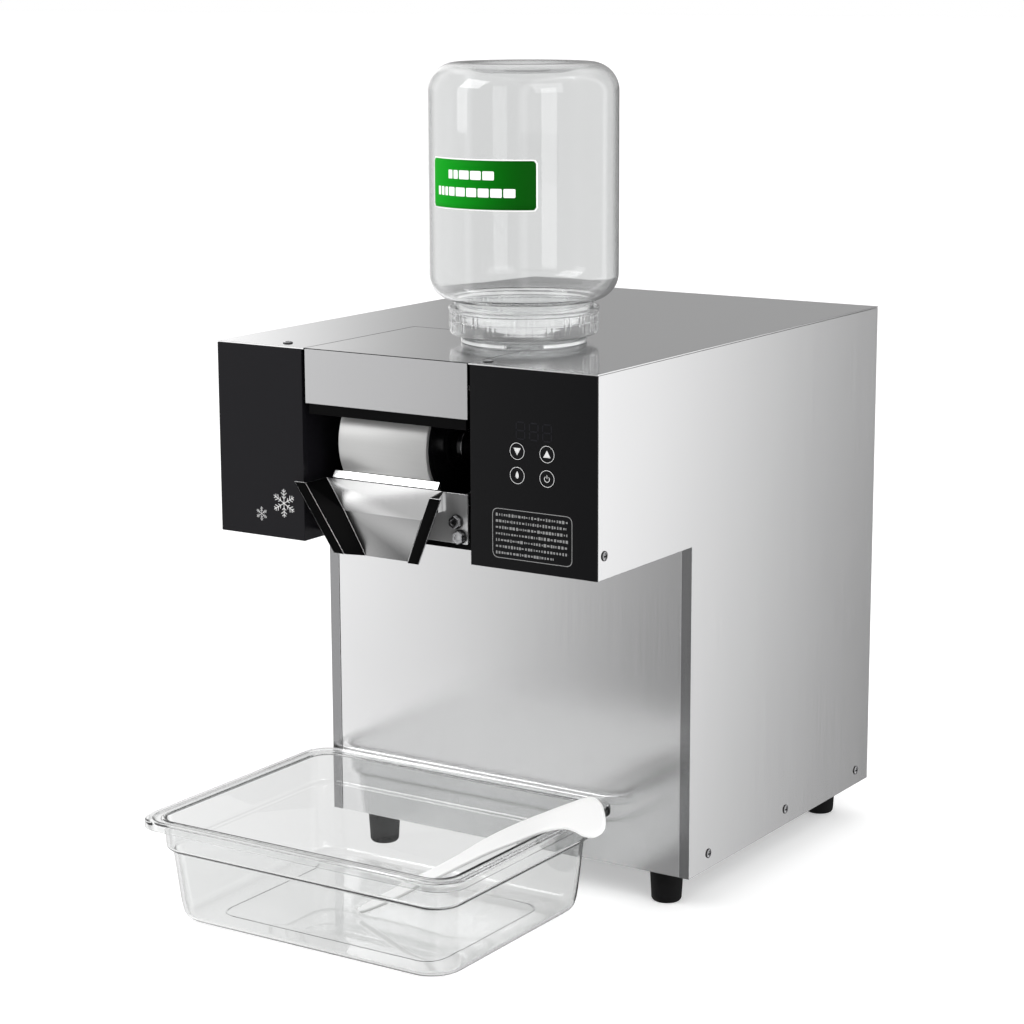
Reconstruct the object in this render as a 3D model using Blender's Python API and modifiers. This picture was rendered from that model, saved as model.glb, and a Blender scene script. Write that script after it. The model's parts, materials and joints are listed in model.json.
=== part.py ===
"""Countertop snow-ice machine with a cold drum, its bottle, pan and scoop. Metres, +Z up.

Places are given in the machine's own frame: X from the middle of the body, Y back from the head's
front face, Z up from the table. One empty shifts that frame, so that the origin of the world is under
the middle of the whole object.
"""

import math

import bmesh
import bpy
from mathutils import Matrix, Vector

# Body
BODY_HALF = 0.190
BODY_BACK = 0.503
BODY_TOP = 0.491
BODY_BOTTOM = 0.033
HEAD_BOTTOM = 0.3255
RECESS_Y = 0.153
SHEET = 0.0012
FASCIA = 0.0015
GAP = 0.0003
UNDER_TOP = BODY_TOP - SHEET - GAP
FLANGE = 0.010
FOOT_X = 0.152
FOOT_Y = (0.181, 0.478)

# Front bay and its cover
BAY_LEFT = -0.100
BAY_RIGHT = 0.070
BAY_BACK = 0.152
COVER_LEFT = -0.097
COVER_RIGHT = 0.068
COVER_BACK = 0.160
FLAP_BOTTOM = 0.444
LIP_BOTTOM = 0.4355
COVER_SEAM = 0.0005
SPOUT_CLEARANCE = 0.021

# Drum and drive
DRUM_Y = 0.066
DRUM_Z = 0.410
DRUM_RADIUS = 0.050
DRUM_ENDS = (-0.075, 0.015)
SHAFT_RADIUS = 0.011
SHAFT_ENDS = (-0.116, 0.104)
GEAR_MODULE = 0.0015
GEAR_TEETH = 40
PINION_TEETH = 20
GEAR_ENDS = (0.086, 0.096)
GEAR_CENTRES = GEAR_MODULE * (GEAR_TEETH + PINION_TEETH) / 2 + GAP
PINION_ANGLE = math.radians(-45)
PINION_Y = DRUM_Y + GEAR_CENTRES * math.cos(PINION_ANGLE)
PINION_Z = DRUM_Z + GEAR_CENTRES * math.sin(PINION_ANGLE)

# Blade and chute
BLADE_ENDS = (-0.083, 0.0245)
BRACKET_Y = 0.025
CHUTE_X = -0.0295
BOLTS = {"bracket_bolt_upper": (0.0393, 0.3535), "bracket_bolt_lower": (0.0430, 0.3410)}

# Controls
KEY_RADIUS = 0.0073
KEYS = {
    "key_down": (0.1151, 0.4235),
    "key_up": (0.1433, 0.4235),
    "key_left": (0.1151, 0.4038),
    "key_right": (0.1433, 0.4038),
}
BOARD_Y = 0.008

# Bottle
BOTTLE_X = 0.0370
BOTTLE_Y = 0.1317
BOTTLE_RADIUS = 0.080
BOTTLE_TOP = 0.725
BOTTLE_WALL = 0.002
NECK_RADIUS = 0.060
NECK_BOTTOM = 0.4990
NECK_TOP = 0.527
CAP_RADIUS = 0.064
SEAT_RADIUS = 0.0534
SPOUT_RADIUS = 0.0135

# Pan and scoop
PAN_X = -0.041
PAN_LENGTH = 0.327
PAN_WIDTH = 0.265
PAN_BACK = RECESS_Y - 0.0005
PAN_HEIGHT = 0.092
PAN_WALL = 0.0022
PAN_Y = PAN_BACK - PAN_WIDTH / 2
SCOOP_TIP = Vector((-0.0446, -0.0018, 0.0055))
SCOOP_END = Vector((0.1575, 0.0580, 0.1290))
SCOOP_ROLL = math.radians(33)
SCOOP_THICK = 0.0042

# Back
INLET_X = (-0.150, -0.092)
INLET_Z = (0.058, 0.092)
INLET_PROUD = 0.0023
ROCKER_X = -0.1045
ROCKER_Z = 0.075
ROCKER_Y = 0.500
ROCKER_TILT = math.radians(8)
FAN_X = 0.085
FAN_Z = 0.150
FAN_RADIUS = 0.070

# Fasteners
SCREW_HEAD = 0.0042
SCREW_PROUD = 0.0016
SIDE_SCREWS = ((0.011, 0.3446), (0.187, 0.0472), (0.3316, 0.0478), (0.477, 0.0471))
TOP_SCREWS = {"top_screw_left": (-0.127, 0.017), "top_screw_right": (0.078, 0.015)}

# The whole object's box, which sets where the world's origin is
LEFT = PAN_X - PAN_LENGTH / 2
RIGHT = BODY_HALF + GAP + SCREW_PROUD
FRONT = PAN_BACK - PAN_WIDTH
BACK = BODY_BACK + INLET_PROUD
ORIGIN_SHIFT = (-(LEFT + RIGHT) / 2, -(FRONT + BACK) / 2, 0.0)

AXIS_TURN = {"Z": (0, 0, 0), "X": (0, math.pi / 2, 0), "Y": (-math.pi / 2, 0, 0)}
PLANES = {
    "XY": Matrix(((1, 0, 0), (0, 1, 0), (0, 0, 1))),
    "XZ": Matrix(((1, 0, 0), (0, 0, -1), (0, 1, 0))),
    "YZ": Matrix(((0, 0, 1), (1, 0, 0), (0, 1, 0))),
}

for old in list(bpy.data.objects):
    bpy.data.objects.remove(old, do_unlink=True)

parts = bpy.data.collections.new("snow_ice_machine")
cutters = bpy.data.collections.new("cutters")
for collection in (parts, cutters):
    bpy.context.scene.collection.children.link(collection)


# ---------------------------------------------------------------- materials


def finish(name, colour, roughness, metallic=0.0, alpha=1.0):
    """A plain Principled material."""
    made = bpy.data.materials.new(name)
    made.use_nodes = True
    shader = made.node_tree.nodes["Principled BSDF"]
    shader.inputs["Base Color"].default_value = (*colour, 1.0)
    shader.inputs["Roughness"].default_value = roughness
    shader.inputs["Metallic"].default_value = metallic
    shader.inputs["Alpha"].default_value = alpha
    made.diffuse_color = (*colour, alpha)
    return made


STEEL = finish("brushed_steel", (0.72, 0.72, 0.73), 0.32, 1.0)
BRIGHT = finish("bright_steel", (0.85, 0.85, 0.86), 0.22, 1.0)
BLACK_GLOSS = finish("black_fascia", (0.012, 0.012, 0.014), 0.12)
BLACK_SATIN = finish("black_satin", (0.015, 0.015, 0.017), 0.40)
RUBBER = finish("black_rubber", (0.012, 0.012, 0.012), 0.75)
CLEAR = finish("clear_plastic", (0.93, 0.95, 0.96), 0.05, 0.0, 0.25)
WHITE = finish("white_plastic", (0.88, 0.88, 0.88), 0.35)
DRUM_METAL = finish("drum_metal", (0.78, 0.78, 0.77), 0.40, 1.0)
ZINC = finish("zinc_plate", (0.60, 0.61, 0.62), 0.38, 1.0)
BOARD_GREEN = finish("board_green", (0.02, 0.16, 0.07), 0.50)
COPPER = finish("copper_pipe", (0.72, 0.38, 0.24), 0.30, 1.0)
ALUMINIUM = finish("aluminium_fins", (0.70, 0.71, 0.72), 0.45, 1.0)
GREY_PLASTIC = finish("grey_plastic", (0.30, 0.31, 0.32), 0.45)
BRASS = finish("gear_brass", (0.70, 0.55, 0.25), 0.35, 1.0)
SILICONE = finish("silicone", (0.75, 0.77, 0.78), 0.50, 0.0, 0.6)


# ---------------------------------------------------------------- helpers


def empty(name, location, parent=None):
    """A pivot that carries the pieces of one moving group."""
    made = bpy.data.objects.new(name, None)
    made.location = location
    made.parent = parent
    made.empty_display_size = 0.02
    parts.objects.link(made)
    return made


def add(name, mesh, look, parent, location=(0, 0, 0)):
    """Links a mesh as one piece, or as a cutter when it has no finish."""
    made = bpy.data.objects.new(name, mesh)
    made.location = location
    made.parent = parent
    if look is None:
        cutters.objects.link(made)
        made.hide_render = True
        made.display_type = "WIRE"
    else:
        parts.objects.link(made)
        mesh.materials.append(look)
    return made


def smooth(mesh):
    """Shades the round faces smooth and keeps the edges over 30 degrees sharp."""
    mesh.shade_smooth()
    mesh.set_sharp_from_angle(angle=math.radians(30))


def block(name, low, high, look, parent, location=(0, 0, 0)):
    """A box between two opposite corners."""
    low, high = Vector(low), Vector(high)
    shape = bmesh.new()
    bmesh.ops.create_cube(shape, size=1.0)
    bmesh.ops.scale(shape, vec=[abs(side) for side in high - low], verts=shape.verts)
    bmesh.ops.translate(shape, vec=(low + high) / 2, verts=shape.verts)
    mesh = bpy.data.meshes.new(name)
    shape.to_mesh(mesh)
    shape.free()
    return add(name, mesh, look, parent, location)


def rod(name, axis, radius, ends, look, parent, location=(0, 0, 0), sides=28):
    """A round bar along an axis, between two places on it."""
    shape = bmesh.new()
    length = ends[1] - ends[0]
    middle = Matrix.Translation((0, 0, (ends[0] + ends[1]) / 2))
    bmesh.ops.create_cone(
        shape, cap_ends=True, segments=sides, radius1=radius, radius2=radius, depth=length, matrix=middle
    )
    mesh = bpy.data.meshes.new(name)
    shape.to_mesh(mesh)
    shape.free()
    smooth(mesh)
    made = add(name, mesh, look, parent, location)
    made.rotation_euler = AXIS_TURN[axis]
    return made


def turned(name, profile, look, parent, location=(0, 0, 0), axis="Z", steps=32, ring=False, wall=None):
    """A turned shape: its profile holds (radius, height) from top to bottom down the outer side."""
    mesh = bpy.data.meshes.new(name)
    edges = [(index, index + 1) for index in range(len(profile) - 1)]
    if ring:
        edges.append((len(profile) - 1, 0))
    mesh.from_pydata([(radius, 0.0, height) for radius, height in profile], edges, [])
    made = add(name, mesh, look, parent, location)
    made.rotation_euler = AXIS_TURN[axis]
    screw = made.modifiers.new("turn", "SCREW")
    screw.steps = steps
    screw.render_steps = steps
    screw.use_smooth_shade = True
    screw.use_merge_vertices = True
    screw.merge_threshold = 0.00001
    if wall:
        solid = made.modifiers.new("wall", "SOLIDIFY")
        solid.thickness = wall
        solid.offset = -1.0
    return made


def washer(name, axis, inner, outer, ends, look, parent, location=(0, 0, 0), steps=28):
    """A plain ring along an axis."""
    profile = [(outer, ends[1]), (outer, ends[0]), (inner, ends[0]), (inner, ends[1])]
    return turned(name, profile, look, parent, location, axis, steps, ring=True)


def mesh_of_curve(curve):
    """The welded mesh of a curve's solid, in the curve's own frame."""
    guide = bpy.data.objects.new("guide", curve)
    bpy.context.scene.collection.objects.link(guide)
    bpy.context.view_layer.update()
    made = bpy.data.meshes.new_from_object(guide.evaluated_get(bpy.context.evaluated_depsgraph_get()))
    bpy.data.objects.remove(guide)
    shape = bmesh.new()
    shape.from_mesh(made)
    bmesh.ops.remove_doubles(shape, verts=shape.verts, dist=0.000002)
    bmesh.ops.recalc_face_normals(shape, faces=shape.faces)
    shape.to_mesh(made)
    shape.free()
    return made


def plate(name, plane, outlines, ends, look, parent, location=(0, 0, 0)):
    """A flat outline, with holes if more outlines follow, extruded between two places on its normal."""
    curve = bpy.data.curves.new(name, "CURVE")
    curve.dimensions = "2D"
    curve.fill_mode = "BOTH"
    curve.extrude = abs(ends[1] - ends[0]) / 2
    for outline in outlines:
        spline = curve.splines.new("POLY")
        spline.points.add(len(outline) - 1)
        for point, (across, up) in zip(spline.points, outline):
            point.co = (across, up, 0, 1)
        spline.use_cyclic_u = True
    mesh = mesh_of_curve(curve)
    turn = PLANES[plane]
    middle = turn @ Vector((0, 0, 1)) * (ends[0] + ends[1]) / 2
    if plane == "XZ":
        middle = -middle
    mesh.transform(Matrix.Translation(middle) @ turn.to_4x4())
    mesh.name = name
    return add(name, mesh, look, parent, location)


def tube(name, points, radius, look, parent):
    """A bent round pipe through its points, on one smooth curve."""
    curve = bpy.data.curves.new(name, "CURVE")
    curve.dimensions = "3D"
    curve.bevel_depth = radius
    curve.bevel_resolution = 2
    curve.use_fill_caps = True
    route = smooth_route(points)
    spline = curve.splines.new("POLY")
    spline.points.add(len(route) - 1)
    for point, place in zip(spline.points, route):
        point.co = (*place, 1)
    mesh = mesh_of_curve(curve)
    mesh.name = name
    smooth(mesh)
    return add(name, mesh, look, parent)


def smooth_route(points, pieces=3):
    """A Catmull-Rom curve through the points, which starts and ends straight."""
    points = [Vector(point) for point in points]
    first = points[0] * 2 - points[1]
    last = points[-1] * 2 - points[-2]
    padded = [first, *points, last]
    route = []
    for a, b, c, d in zip(padded, padded[1:], padded[2:], padded[3:]):
        for step in range(pieces):
            t = step / pieces
            bend = (a * 2 - b * 5 + c * 4 - d) * t * t + (b * 3 - a - c * 3 + d) * t * t * t
            route.append(b + ((c - a) * t + bend) / 2)
    return [*route, points[-1]]


def boolean(target, tool, operation):
    """Joins a helper shape to a piece, or cuts it away."""
    change = target.modifiers.new(operation.lower(), "BOOLEAN")
    change.operation = operation
    change.object = tool


def cut(target, *tools):
    for tool in tools:
        boolean(target, tool, "DIFFERENCE")


def join(target, *tools):
    for tool in tools:
        boolean(target, tool, "UNION")


def circle(centre, radius, sides=24, start=0.0):
    """Points round a circle, anticlockwise."""
    turns = (start + 2 * math.pi * index / sides for index in range(sides))
    return [(centre[0] + radius * math.cos(turn), centre[1] + radius * math.sin(turn)) for turn in turns]


def arc(centre, radius, first, last, pieces):
    """Points along an arc between two angles in degrees, both ends included."""
    angles = (math.radians(first + (last - first) * index / pieces) for index in range(pieces + 1))
    return [(centre[0] + radius * math.cos(a), centre[1] + radius * math.sin(a)) for a in angles]


def gear_outline(teeth, centre, first_tooth, backlash=0.0003):
    """Straight-sided 20 degree teeth, the first one centred on the angle given."""
    pitch = GEAR_MODULE * teeth / 2
    rise, drop = 0.85 * GEAR_MODULE, 1.15 * GEAR_MODULE
    half = (math.pi * GEAR_MODULE / 2 - backlash) / 2
    flank = math.tan(math.radians(20))
    outline = []
    for index in range(teeth):
        middle = first_tooth + 2 * math.pi * index / teeth
        for height, side in ((-drop, -1), (rise, -1), (rise, 1), (-drop, 1)):
            radius = pitch + height
            turn = middle + side * (half - height * flank) / radius
            outline.append((centre[0] + radius * math.cos(turn), centre[1] + radius * math.sin(turn)))
    return outline


def rounded_ring(half_x, half_y, radius, height, pieces=4):
    """Points round a rectangle with round corners, anticlockwise from above."""
    corners = ((1, 1, 0), (-1, 1, 90), (-1, -1, 180), (1, -1, 270))
    ring = []
    for side_x, side_y, start in corners:
        centre = (side_x * (half_x - radius), side_y * (half_y - radius))
        ring += [(x, y, height) for x, y in arc(centre, radius, start, start + 90, pieces)]
    return ring


def loft(name, rows, look, parent, wall, closed=False, capped=False, side=-1.0):
    """A sheet through rows of matching points, with its wall behind it or, at side 1, before it."""
    count = len(rows[0])
    shape = bmesh.new()
    made = [[shape.verts.new(point) for point in row] for row in rows]
    for upper, lower in zip(made, made[1:]):
        for index in range(count if closed else count - 1):
            after = (index + 1) % count
            shape.faces.new((upper[index], lower[index], lower[after], upper[after]))
    if capped:
        shape.faces.new(list(reversed(made[-1])))
    mesh = bpy.data.meshes.new(name)
    shape.to_mesh(mesh)
    shape.free()
    smooth(mesh)
    piece = add(name, mesh, look, parent)
    solid = piece.modifiers.new("wall", "SOLIDIFY")
    solid.thickness = wall
    solid.offset = side
    solid.use_even_offset = True
    return piece


# ---------------------------------------------------------------- pivots

machine = empty("machine", ORIGIN_SHIFT)
drum_axis = empty("drum_axis", (0, DRUM_Y, DRUM_Z), machine)
pinion_axis = empty("pinion_axis", (0, PINION_Y, PINION_Z), machine)
fan_axis = empty("fan_axis", (FAN_X, 0, FAN_Z), machine)
cover_slide = empty("cover_slide", (0, 0, BODY_TOP), machine)
bottle_lift = empty("bottle_lift", (BOTTLE_X, BOTTLE_Y, 0), machine)
pan_slide = empty("pan_slide", (PAN_X, PAN_Y, 0), machine)
rocker_pivot = empty("rocker_pivot", (ROCKER_X, ROCKER_Y, ROCKER_Z), machine)


# ---------------------------------------------------------------- casing


def side_panel(name, side, holes):
    """An L-shaped side sheet, with a flange turned in along the recess."""
    front = FASCIA + GAP
    outline = [
        (front, HEAD_BOTTOM),
        (RECESS_Y, HEAD_BOTTOM),
        (RECESS_Y, BODY_BOTTOM),
        (BODY_BACK, BODY_BOTTOM),
        (BODY_BACK, UNDER_TOP),
        (front, UNDER_TOP),
    ]
    ends = sorted((side * (BODY_HALF - SHEET), side * BODY_HALF))
    sheet = plate(name, "YZ", [outline, *holes], ends, STEEL, machine)
    low = (side * (BODY_HALF - FLANGE), RECESS_Y, BODY_BOTTOM)
    high = (side * (BODY_HALF - SHEET / 2), RECESS_Y + SHEET, HEAD_BOTTOM - GAP)
    join(sheet, block(name + "_flange", low, high, None, machine))
    return sheet


def base_pan():
    """A folded tray that carries the cooling unit."""
    half = BODY_HALF - SHEET - 2 * GAP
    front = RECESS_Y + 2 * SHEET
    back = BODY_BACK - SHEET - 2 * GAP
    rim = 0.055
    tray = block("base_pan", (-half, front, BODY_BOTTOM), (half, back, rim), ZINC, machine)
    low = (-half + SHEET, front + SHEET, BODY_BOTTOM + SHEET)
    cut(tray, block("base_pan_inside", low, (half - SHEET, back - SHEET, rim + SHEET), None, machine))
    for index, (y, z) in enumerate(SIDE_SCREWS[1:], 2):
        ends = (BODY_HALF - 0.010, BODY_HALF)
        cut(tray, rod(f"base_hole_{index}", "X", 0.0022, ends, None, machine, (0, y, z), 16))


def top_panel():
    """The top sheet, cut out for the drum cover, with two joggled ledges that carry the cover."""
    notch_x = BOTTLE_X - SPOUT_CLEARANCE + COVER_SEAM
    notch_y = BOTTLE_Y - SPOUT_CLEARANCE + COVER_SEAM
    outline = [
        (-BODY_HALF, 0),
        (COVER_LEFT - COVER_SEAM, 0),
        (COVER_LEFT - COVER_SEAM, COVER_BACK + COVER_SEAM),
        (notch_x, COVER_BACK + COVER_SEAM),
        (notch_x, notch_y),
        (COVER_RIGHT + COVER_SEAM, notch_y),
        (COVER_RIGHT + COVER_SEAM, 0),
        (BODY_HALF, 0),
        (BODY_HALF, BODY_BACK),
        (-BODY_HALF, BODY_BACK),
    ]
    holes = [circle((BOTTLE_X, BOTTLE_Y), SPOUT_RADIUS + 0.0006, 32)]
    holes += [circle(place, 0.0022, 16) for place in TOP_SCREWS.values()]
    sheet = plate("top_panel", "XY", [outline, *holes], (BODY_TOP - SHEET, BODY_TOP), STEEL, machine)
    for side, edge in ((-1, COVER_LEFT - COVER_SEAM), (1, COVER_RIGHT + COVER_SEAM)):
        tag = "left" if side < 0 else "right"
        inner, outer = edge - side * 0.003, edge + side * SHEET
        low_z, mid_z = UNDER_TOP - SHEET, UNDER_TOP
        ledge = block(f"ledge_{tag}", (inner, 0.006, low_z), (outer, 0.106, mid_z), None, machine)
        low, high = (edge + side * 0.0002, 0.006, low_z), (outer, 0.106, BODY_TOP - SHEET / 2)
        web = block(f"ledge_web_{tag}", low, high, None, machine)
        join(sheet, ledge, web)


def back_panel():
    """The back sheet, with louvre slots behind the fan and a cut-out for the mains inlet."""
    half = BODY_HALF - SHEET - GAP
    low = (-half, BODY_BACK - SHEET, BODY_BOTTOM)
    sheet = block("back_panel", low, (half, BODY_BACK, UNDER_TOP), STEEL, machine)
    slot_low = (FAN_X - 0.065, BODY_BACK - 0.010, FAN_Z - 0.064)
    slot_high = (FAN_X + 0.065, BODY_BACK + 0.010, FAN_Z - 0.058)
    slots = block("louvre_slots", slot_low, slot_high, None, machine)
    row = slots.modifiers.new("row", "ARRAY")
    row.count = 10
    row.use_relative_offset = False
    row.use_constant_offset = True
    row.constant_offset_displace = (0, 0, 0.0136)
    hole_low = (INLET_X[0] + 0.0035, BODY_BACK - 0.010, INLET_Z[0] + 0.0025)
    hole_high = (INLET_X[1] - 0.0035, BODY_BACK + 0.010, INLET_Z[1] - 0.0025)
    cut(sheet, slots, block("inlet_hole", hole_low, hole_high, None, machine))


def lower_front_panel():
    """The plain sheet at the back of the recess, between the side flanges."""
    half = BODY_HALF - FLANGE - GAP
    low = (-half, RECESS_Y + SHEET / 2, BODY_BOTTOM)
    block("lower_front_panel", low, (half, RECESS_Y + SHEET * 1.5, HEAD_BOTTOM - 2 * GAP), STEEL, machine)


def head_floor():
    """The sheet under the head, open below the drum bay."""
    half = BODY_HALF - SHEET - GAP
    front = FASCIA + GAP
    left = BAY_LEFT - FASCIA - GAP
    right = BAY_RIGHT + FASCIA + GAP
    back = BAY_BACK + 0.0238
    outline = [
        (-half, front),
        (left, front),
        (left, BAY_BACK),
        (right, BAY_BACK),
        (right, front),
        (half, front),
        (half, back),
        (-half, back),
    ]
    plate("head_floor", "XY", [outline], (HEAD_BOTTOM, HEAD_BOTTOM + SHEET), STEEL, machine)


def front_cover(name, outer, inner, look):
    """A black front plate with one wall turned back beside the drum bay."""
    side = 1 if outer > inner else -1
    back = BAY_BACK - 0.001
    outline = [(outer, 0), (inner, 0), (inner, back), (inner + side * FASCIA, back)]
    outline += [(inner + side * FASCIA, FASCIA), (outer, FASCIA)]
    made = plate(name, "XY", [outline], (HEAD_BOTTOM, UNDER_TOP), look, machine)
    ends = sorted((inner - side * 0.005, inner + side * 0.005))
    bore = rod(name + "_bore", "X", SHAFT_RADIUS + 0.001, ends, None, machine, (0, DRUM_Y, DRUM_Z))
    cut(made, bore)
    return made


def drum_bay_liner():
    """A black folded sheet behind and below the drum, with an upstand that carries the blade bracket."""
    front = BRACKET_Y + 0.0025
    floor = HEAD_BOTTOM + 0.0045
    outline = [
        (front, floor),
        (BAY_BACK + 0.0015, floor),
        (BAY_BACK + 0.0015, UNDER_TOP - GAP),
        (BAY_BACK, UNDER_TOP - GAP),
        (BAY_BACK, floor + FASCIA),
        (front + FASCIA, floor + FASCIA),
        (front + FASCIA, floor + 0.032),
        (front, floor + 0.032),
    ]
    ends = (BAY_LEFT + 0.0004, BAY_RIGHT - 0.0004)
    liner = plate("drum_bay_liner", "YZ", [outline], ends, BLACK_SATIN, machine)
    for name, (x, z) in BOLTS.items():
        ends = (front - 0.005, front + 0.006)
        cut(liner, rod(name + "_liner_hole", "Y", 0.0034, ends, None, machine, (x, 0, z), 16))


def foot(name, x, y):
    """A tapered rubber foot."""
    top = BODY_BOTTOM - GAP
    profile = [(0, top), (0.0156, top), (0.0156, top - 0.003), (0.0133, 0.0015), (0.0123, 0), (0, 0)]
    turned(name, profile, RUBBER, machine, (x, y, 0), steps=20)


side_panel("side_panel_left", -1, [])
side_panel("side_panel_right", 1, [circle(place, 0.0022, 16) for place in SIDE_SCREWS])
base_pan()
top_panel()
back_panel()
lower_front_panel()
head_floor()
front_cover("left_front_cover", -BODY_HALF, BAY_LEFT, BLACK_SATIN)
fascia = front_cover("control_panel", BODY_HALF, BAY_RIGHT, BLACK_GLOSS)
drum_bay_liner()
for end, foot_y in zip(("front", "back"), FOOT_Y):
    foot(f"foot_{end}_left", -FOOT_X, foot_y)
    foot(f"foot_{end}_right", FOOT_X, foot_y)


# ---------------------------------------------------------------- controls


def key(name, x, z):
    """A round key with a retaining flange behind the fascia and a stem towards its switch."""
    profile = [(0, 0.0060), (0.003, 0.0060), (0.003, 0.0026), (0.0086, 0.0026), (0.0086, 0.0018)]
    profile += [(KEY_RADIUS, 0.0018), (KEY_RADIUS, 0), (0, 0)]
    turned(name, profile, BLACK_GLOSS, machine, (x, 0, z), "Y", 24)
    cut(fascia, rod(name + "_hole", "Y", KEY_RADIUS + GAP, (-0.005, 0.005), None, machine, (x, 0, z), 24))


def control_board():
    """The circuit board on four posts, with a switch under each key."""
    low, high = (0.084, BOARD_Y, 0.345), (0.182, BOARD_Y + 0.0016, 0.470)
    board = block("control_board", low, high, BOARD_GREEN, machine)
    for index, (x, z) in enumerate(((0.090, 0.352), (0.176, 0.352), (0.090, 0.463), (0.176, 0.463))):
        ends = (FASCIA + GAP, BOARD_Y + 0.0008)
        join(board, rod(f"board_post_{index}", "Y", 0.003, ends, None, machine, (x, 0, z), 12))
    for name, (x, z) in KEYS.items():
        low, high = (x - 0.003, BOARD_Y - 0.0012, z - 0.003), (x + 0.003, BOARD_Y + 0.0008, z + 0.003)
        join(board, block(name + "_switch", low, high, None, machine))


for key_name, place in KEYS.items():
    key(key_name, *place)
control_board()
block("display_module", (0.108, 0.0018, 0.433), (0.155, 0.0076, 0.453), GREY_PLASTIC, machine)


# ---------------------------------------------------------------- drum and drive


def drum():
    """The freezing drum: a shell, two end discs, a shaft and a collar, all turning together."""
    left, right = DRUM_ENDS
    washer("drum_shell", "X", DRUM_RADIUS - 0.004, DRUM_RADIUS, DRUM_ENDS, DRUM_METAL, drum_axis, steps=56)
    disc = (SHAFT_RADIUS + GAP, DRUM_RADIUS - 0.004 - GAP)
    washer("drum_end_left", "X", *disc, (left + 0.0005, left + 0.0065), BLACK_SATIN, drum_axis, steps=36)
    washer("drum_end_right", "X", *disc, (right - 0.0065, right - 0.0005), BLACK_GLOSS, drum_axis, steps=36)
    rod("drum_shaft", "X", SHAFT_RADIUS, SHAFT_ENDS, BLACK_SATIN, drum_axis)
    washer("shaft_collar", "X", SHAFT_RADIUS + GAP, 0.0145, (0.021, 0.026), BRIGHT, drum_axis)


def drive():
    """The two bearings, the gear pair, the motor and its bracket."""
    ring = (SHAFT_RADIUS + GAP, 0.020)
    left, right = BAY_LEFT - FASCIA - 0.0005, BAY_RIGHT + FASCIA + 0.0005
    centre = (0, DRUM_Y, DRUM_Z)
    washer("bearing_left", "X", *ring, (left - 0.011, left), BRIGHT, machine, centre)
    washer("bearing_right", "X", *ring, (right, right + 0.011), BRIGHT, machine, centre)

    gear = gear_outline(GEAR_TEETH, (0, 0), PINION_ANGLE)
    bore = circle((0, 0), SHAFT_RADIUS + GAP, 32)
    plate("drum_gear", "YZ", [gear, bore], GEAR_ENDS, BRASS, drum_axis)
    first = PINION_ANGLE + math.pi + math.pi / PINION_TEETH
    teeth = gear_outline(PINION_TEETH, (0, 0), first)
    pinion = plate("motor_pinion", "YZ", [teeth], GEAR_ENDS, ZINC, pinion_axis)
    join(pinion, rod("pinion_stub", "X", 0.005, (GEAR_ENDS[0] + 0.002, 0.104), None, pinion_axis, sides=24))

    motor = rod("gear_motor", "X", 0.026, (0.0996, 0.160), GREY_PLASTIC, machine, (0, PINION_Y, PINION_Z), 40)
    hole = rod("motor_hole", "X", 0.0056, (0.090, 0.108), None, machine, (0, PINION_Y, PINION_Z), 24)
    cut(motor, hole)

    foot_z = HEAD_BOTTOM + SHEET + GAP
    outline = [(0.0972, foot_z), (0.130, foot_z), (0.130, foot_z + 0.002), (0.0992, foot_z + 0.002)]
    outline += [(0.0992, 0.412), (0.0972, 0.412)]
    bracket = plate("motor_bracket", "XZ", [outline], (0.079, 0.136), ZINC, machine)
    cut(bracket, rod("bracket_hole", "X", 0.008, (0.090, 0.105), None, machine, (0, PINION_Y, PINION_Z), 24))


def trough():
    """A tub that follows the drum's underside and widens into a hopper below the feed tube."""
    centre = (DRUM_Y, DRUM_Z)

    def section(radius, inset, top):
        back = BAY_BACK - 0.005 - inset
        shape = arc(centre, radius, -125, -22, 14)
        return [*shape, (0.124 + inset / 2, 0.398 + inset), (back, 0.408 + inset), (back, top)]

    outer, inner = 0.054, 0.0525
    wall = outer - inner
    ends = (-0.0795, 0.061)
    tub = plate("liquid_trough", "YZ", [section(outer, 0, 0.431)], ends, BLACK_SATIN, machine)
    inside = section(inner, wall, 0.445)
    inside.append((0.040, 0.400))
    cut(tub, plate("trough_inside", "YZ", [inside], (ends[0] + wall, ends[1] - wall), None, machine))


drum()
drive()
trough()


# ---------------------------------------------------------------- blade and chute


def blade():
    """The scraper, ground to an edge that meets the drum's falling front face."""
    reach = DRUM_RADIUS + 0.0006
    toward = Vector((-0.045, -0.025)).normalized()
    edge = (DRUM_Y + reach * toward.x, DRUM_Z + reach * toward.y)
    outline = [edge, (0.0181, 0.3799), (0.0193, 0.3790), (0.0193, 0.360), (0.0247, 0.360), (0.0247, 0.378)]
    plate("blade", "YZ", [outline], BLADE_ENDS, BRIGHT, machine)


def blade_bracket():
    """The plate that carries the blade and the chute, with its two hexagon bolts."""
    outline = [(-0.097, 0.335), (0.050, 0.335), (0.050, 0.377), (0.021, 0.377), (0.018, 0.372)]
    outline.append((-0.097, 0.372))
    holes = [circle(place, 0.0034, 16) for place in BOLTS.values()]
    plate("blade_bracket", "XZ", [outline, *holes], (BRACKET_Y, BRACKET_Y + 0.002), BRIGHT, machine)
    for name, (x, z) in BOLTS.items():
        head = BRACKET_Y - GAP
        bolt = rod(name, "Y", 0.00577, (head - 0.0052, head - 0.001), ZINC, machine, (x, 0, z), 6)
        flange = rod(name + "_flange", "Y", 0.0060, (head - 0.0012, head), None, machine, (x, 0, z), 24)
        shank = rod(name + "_shank", "Y", 0.0030, (head - 0.002, head + 0.010), None, machine, (x, 0, z), 16)
        join(bolt, flange, shank)


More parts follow.
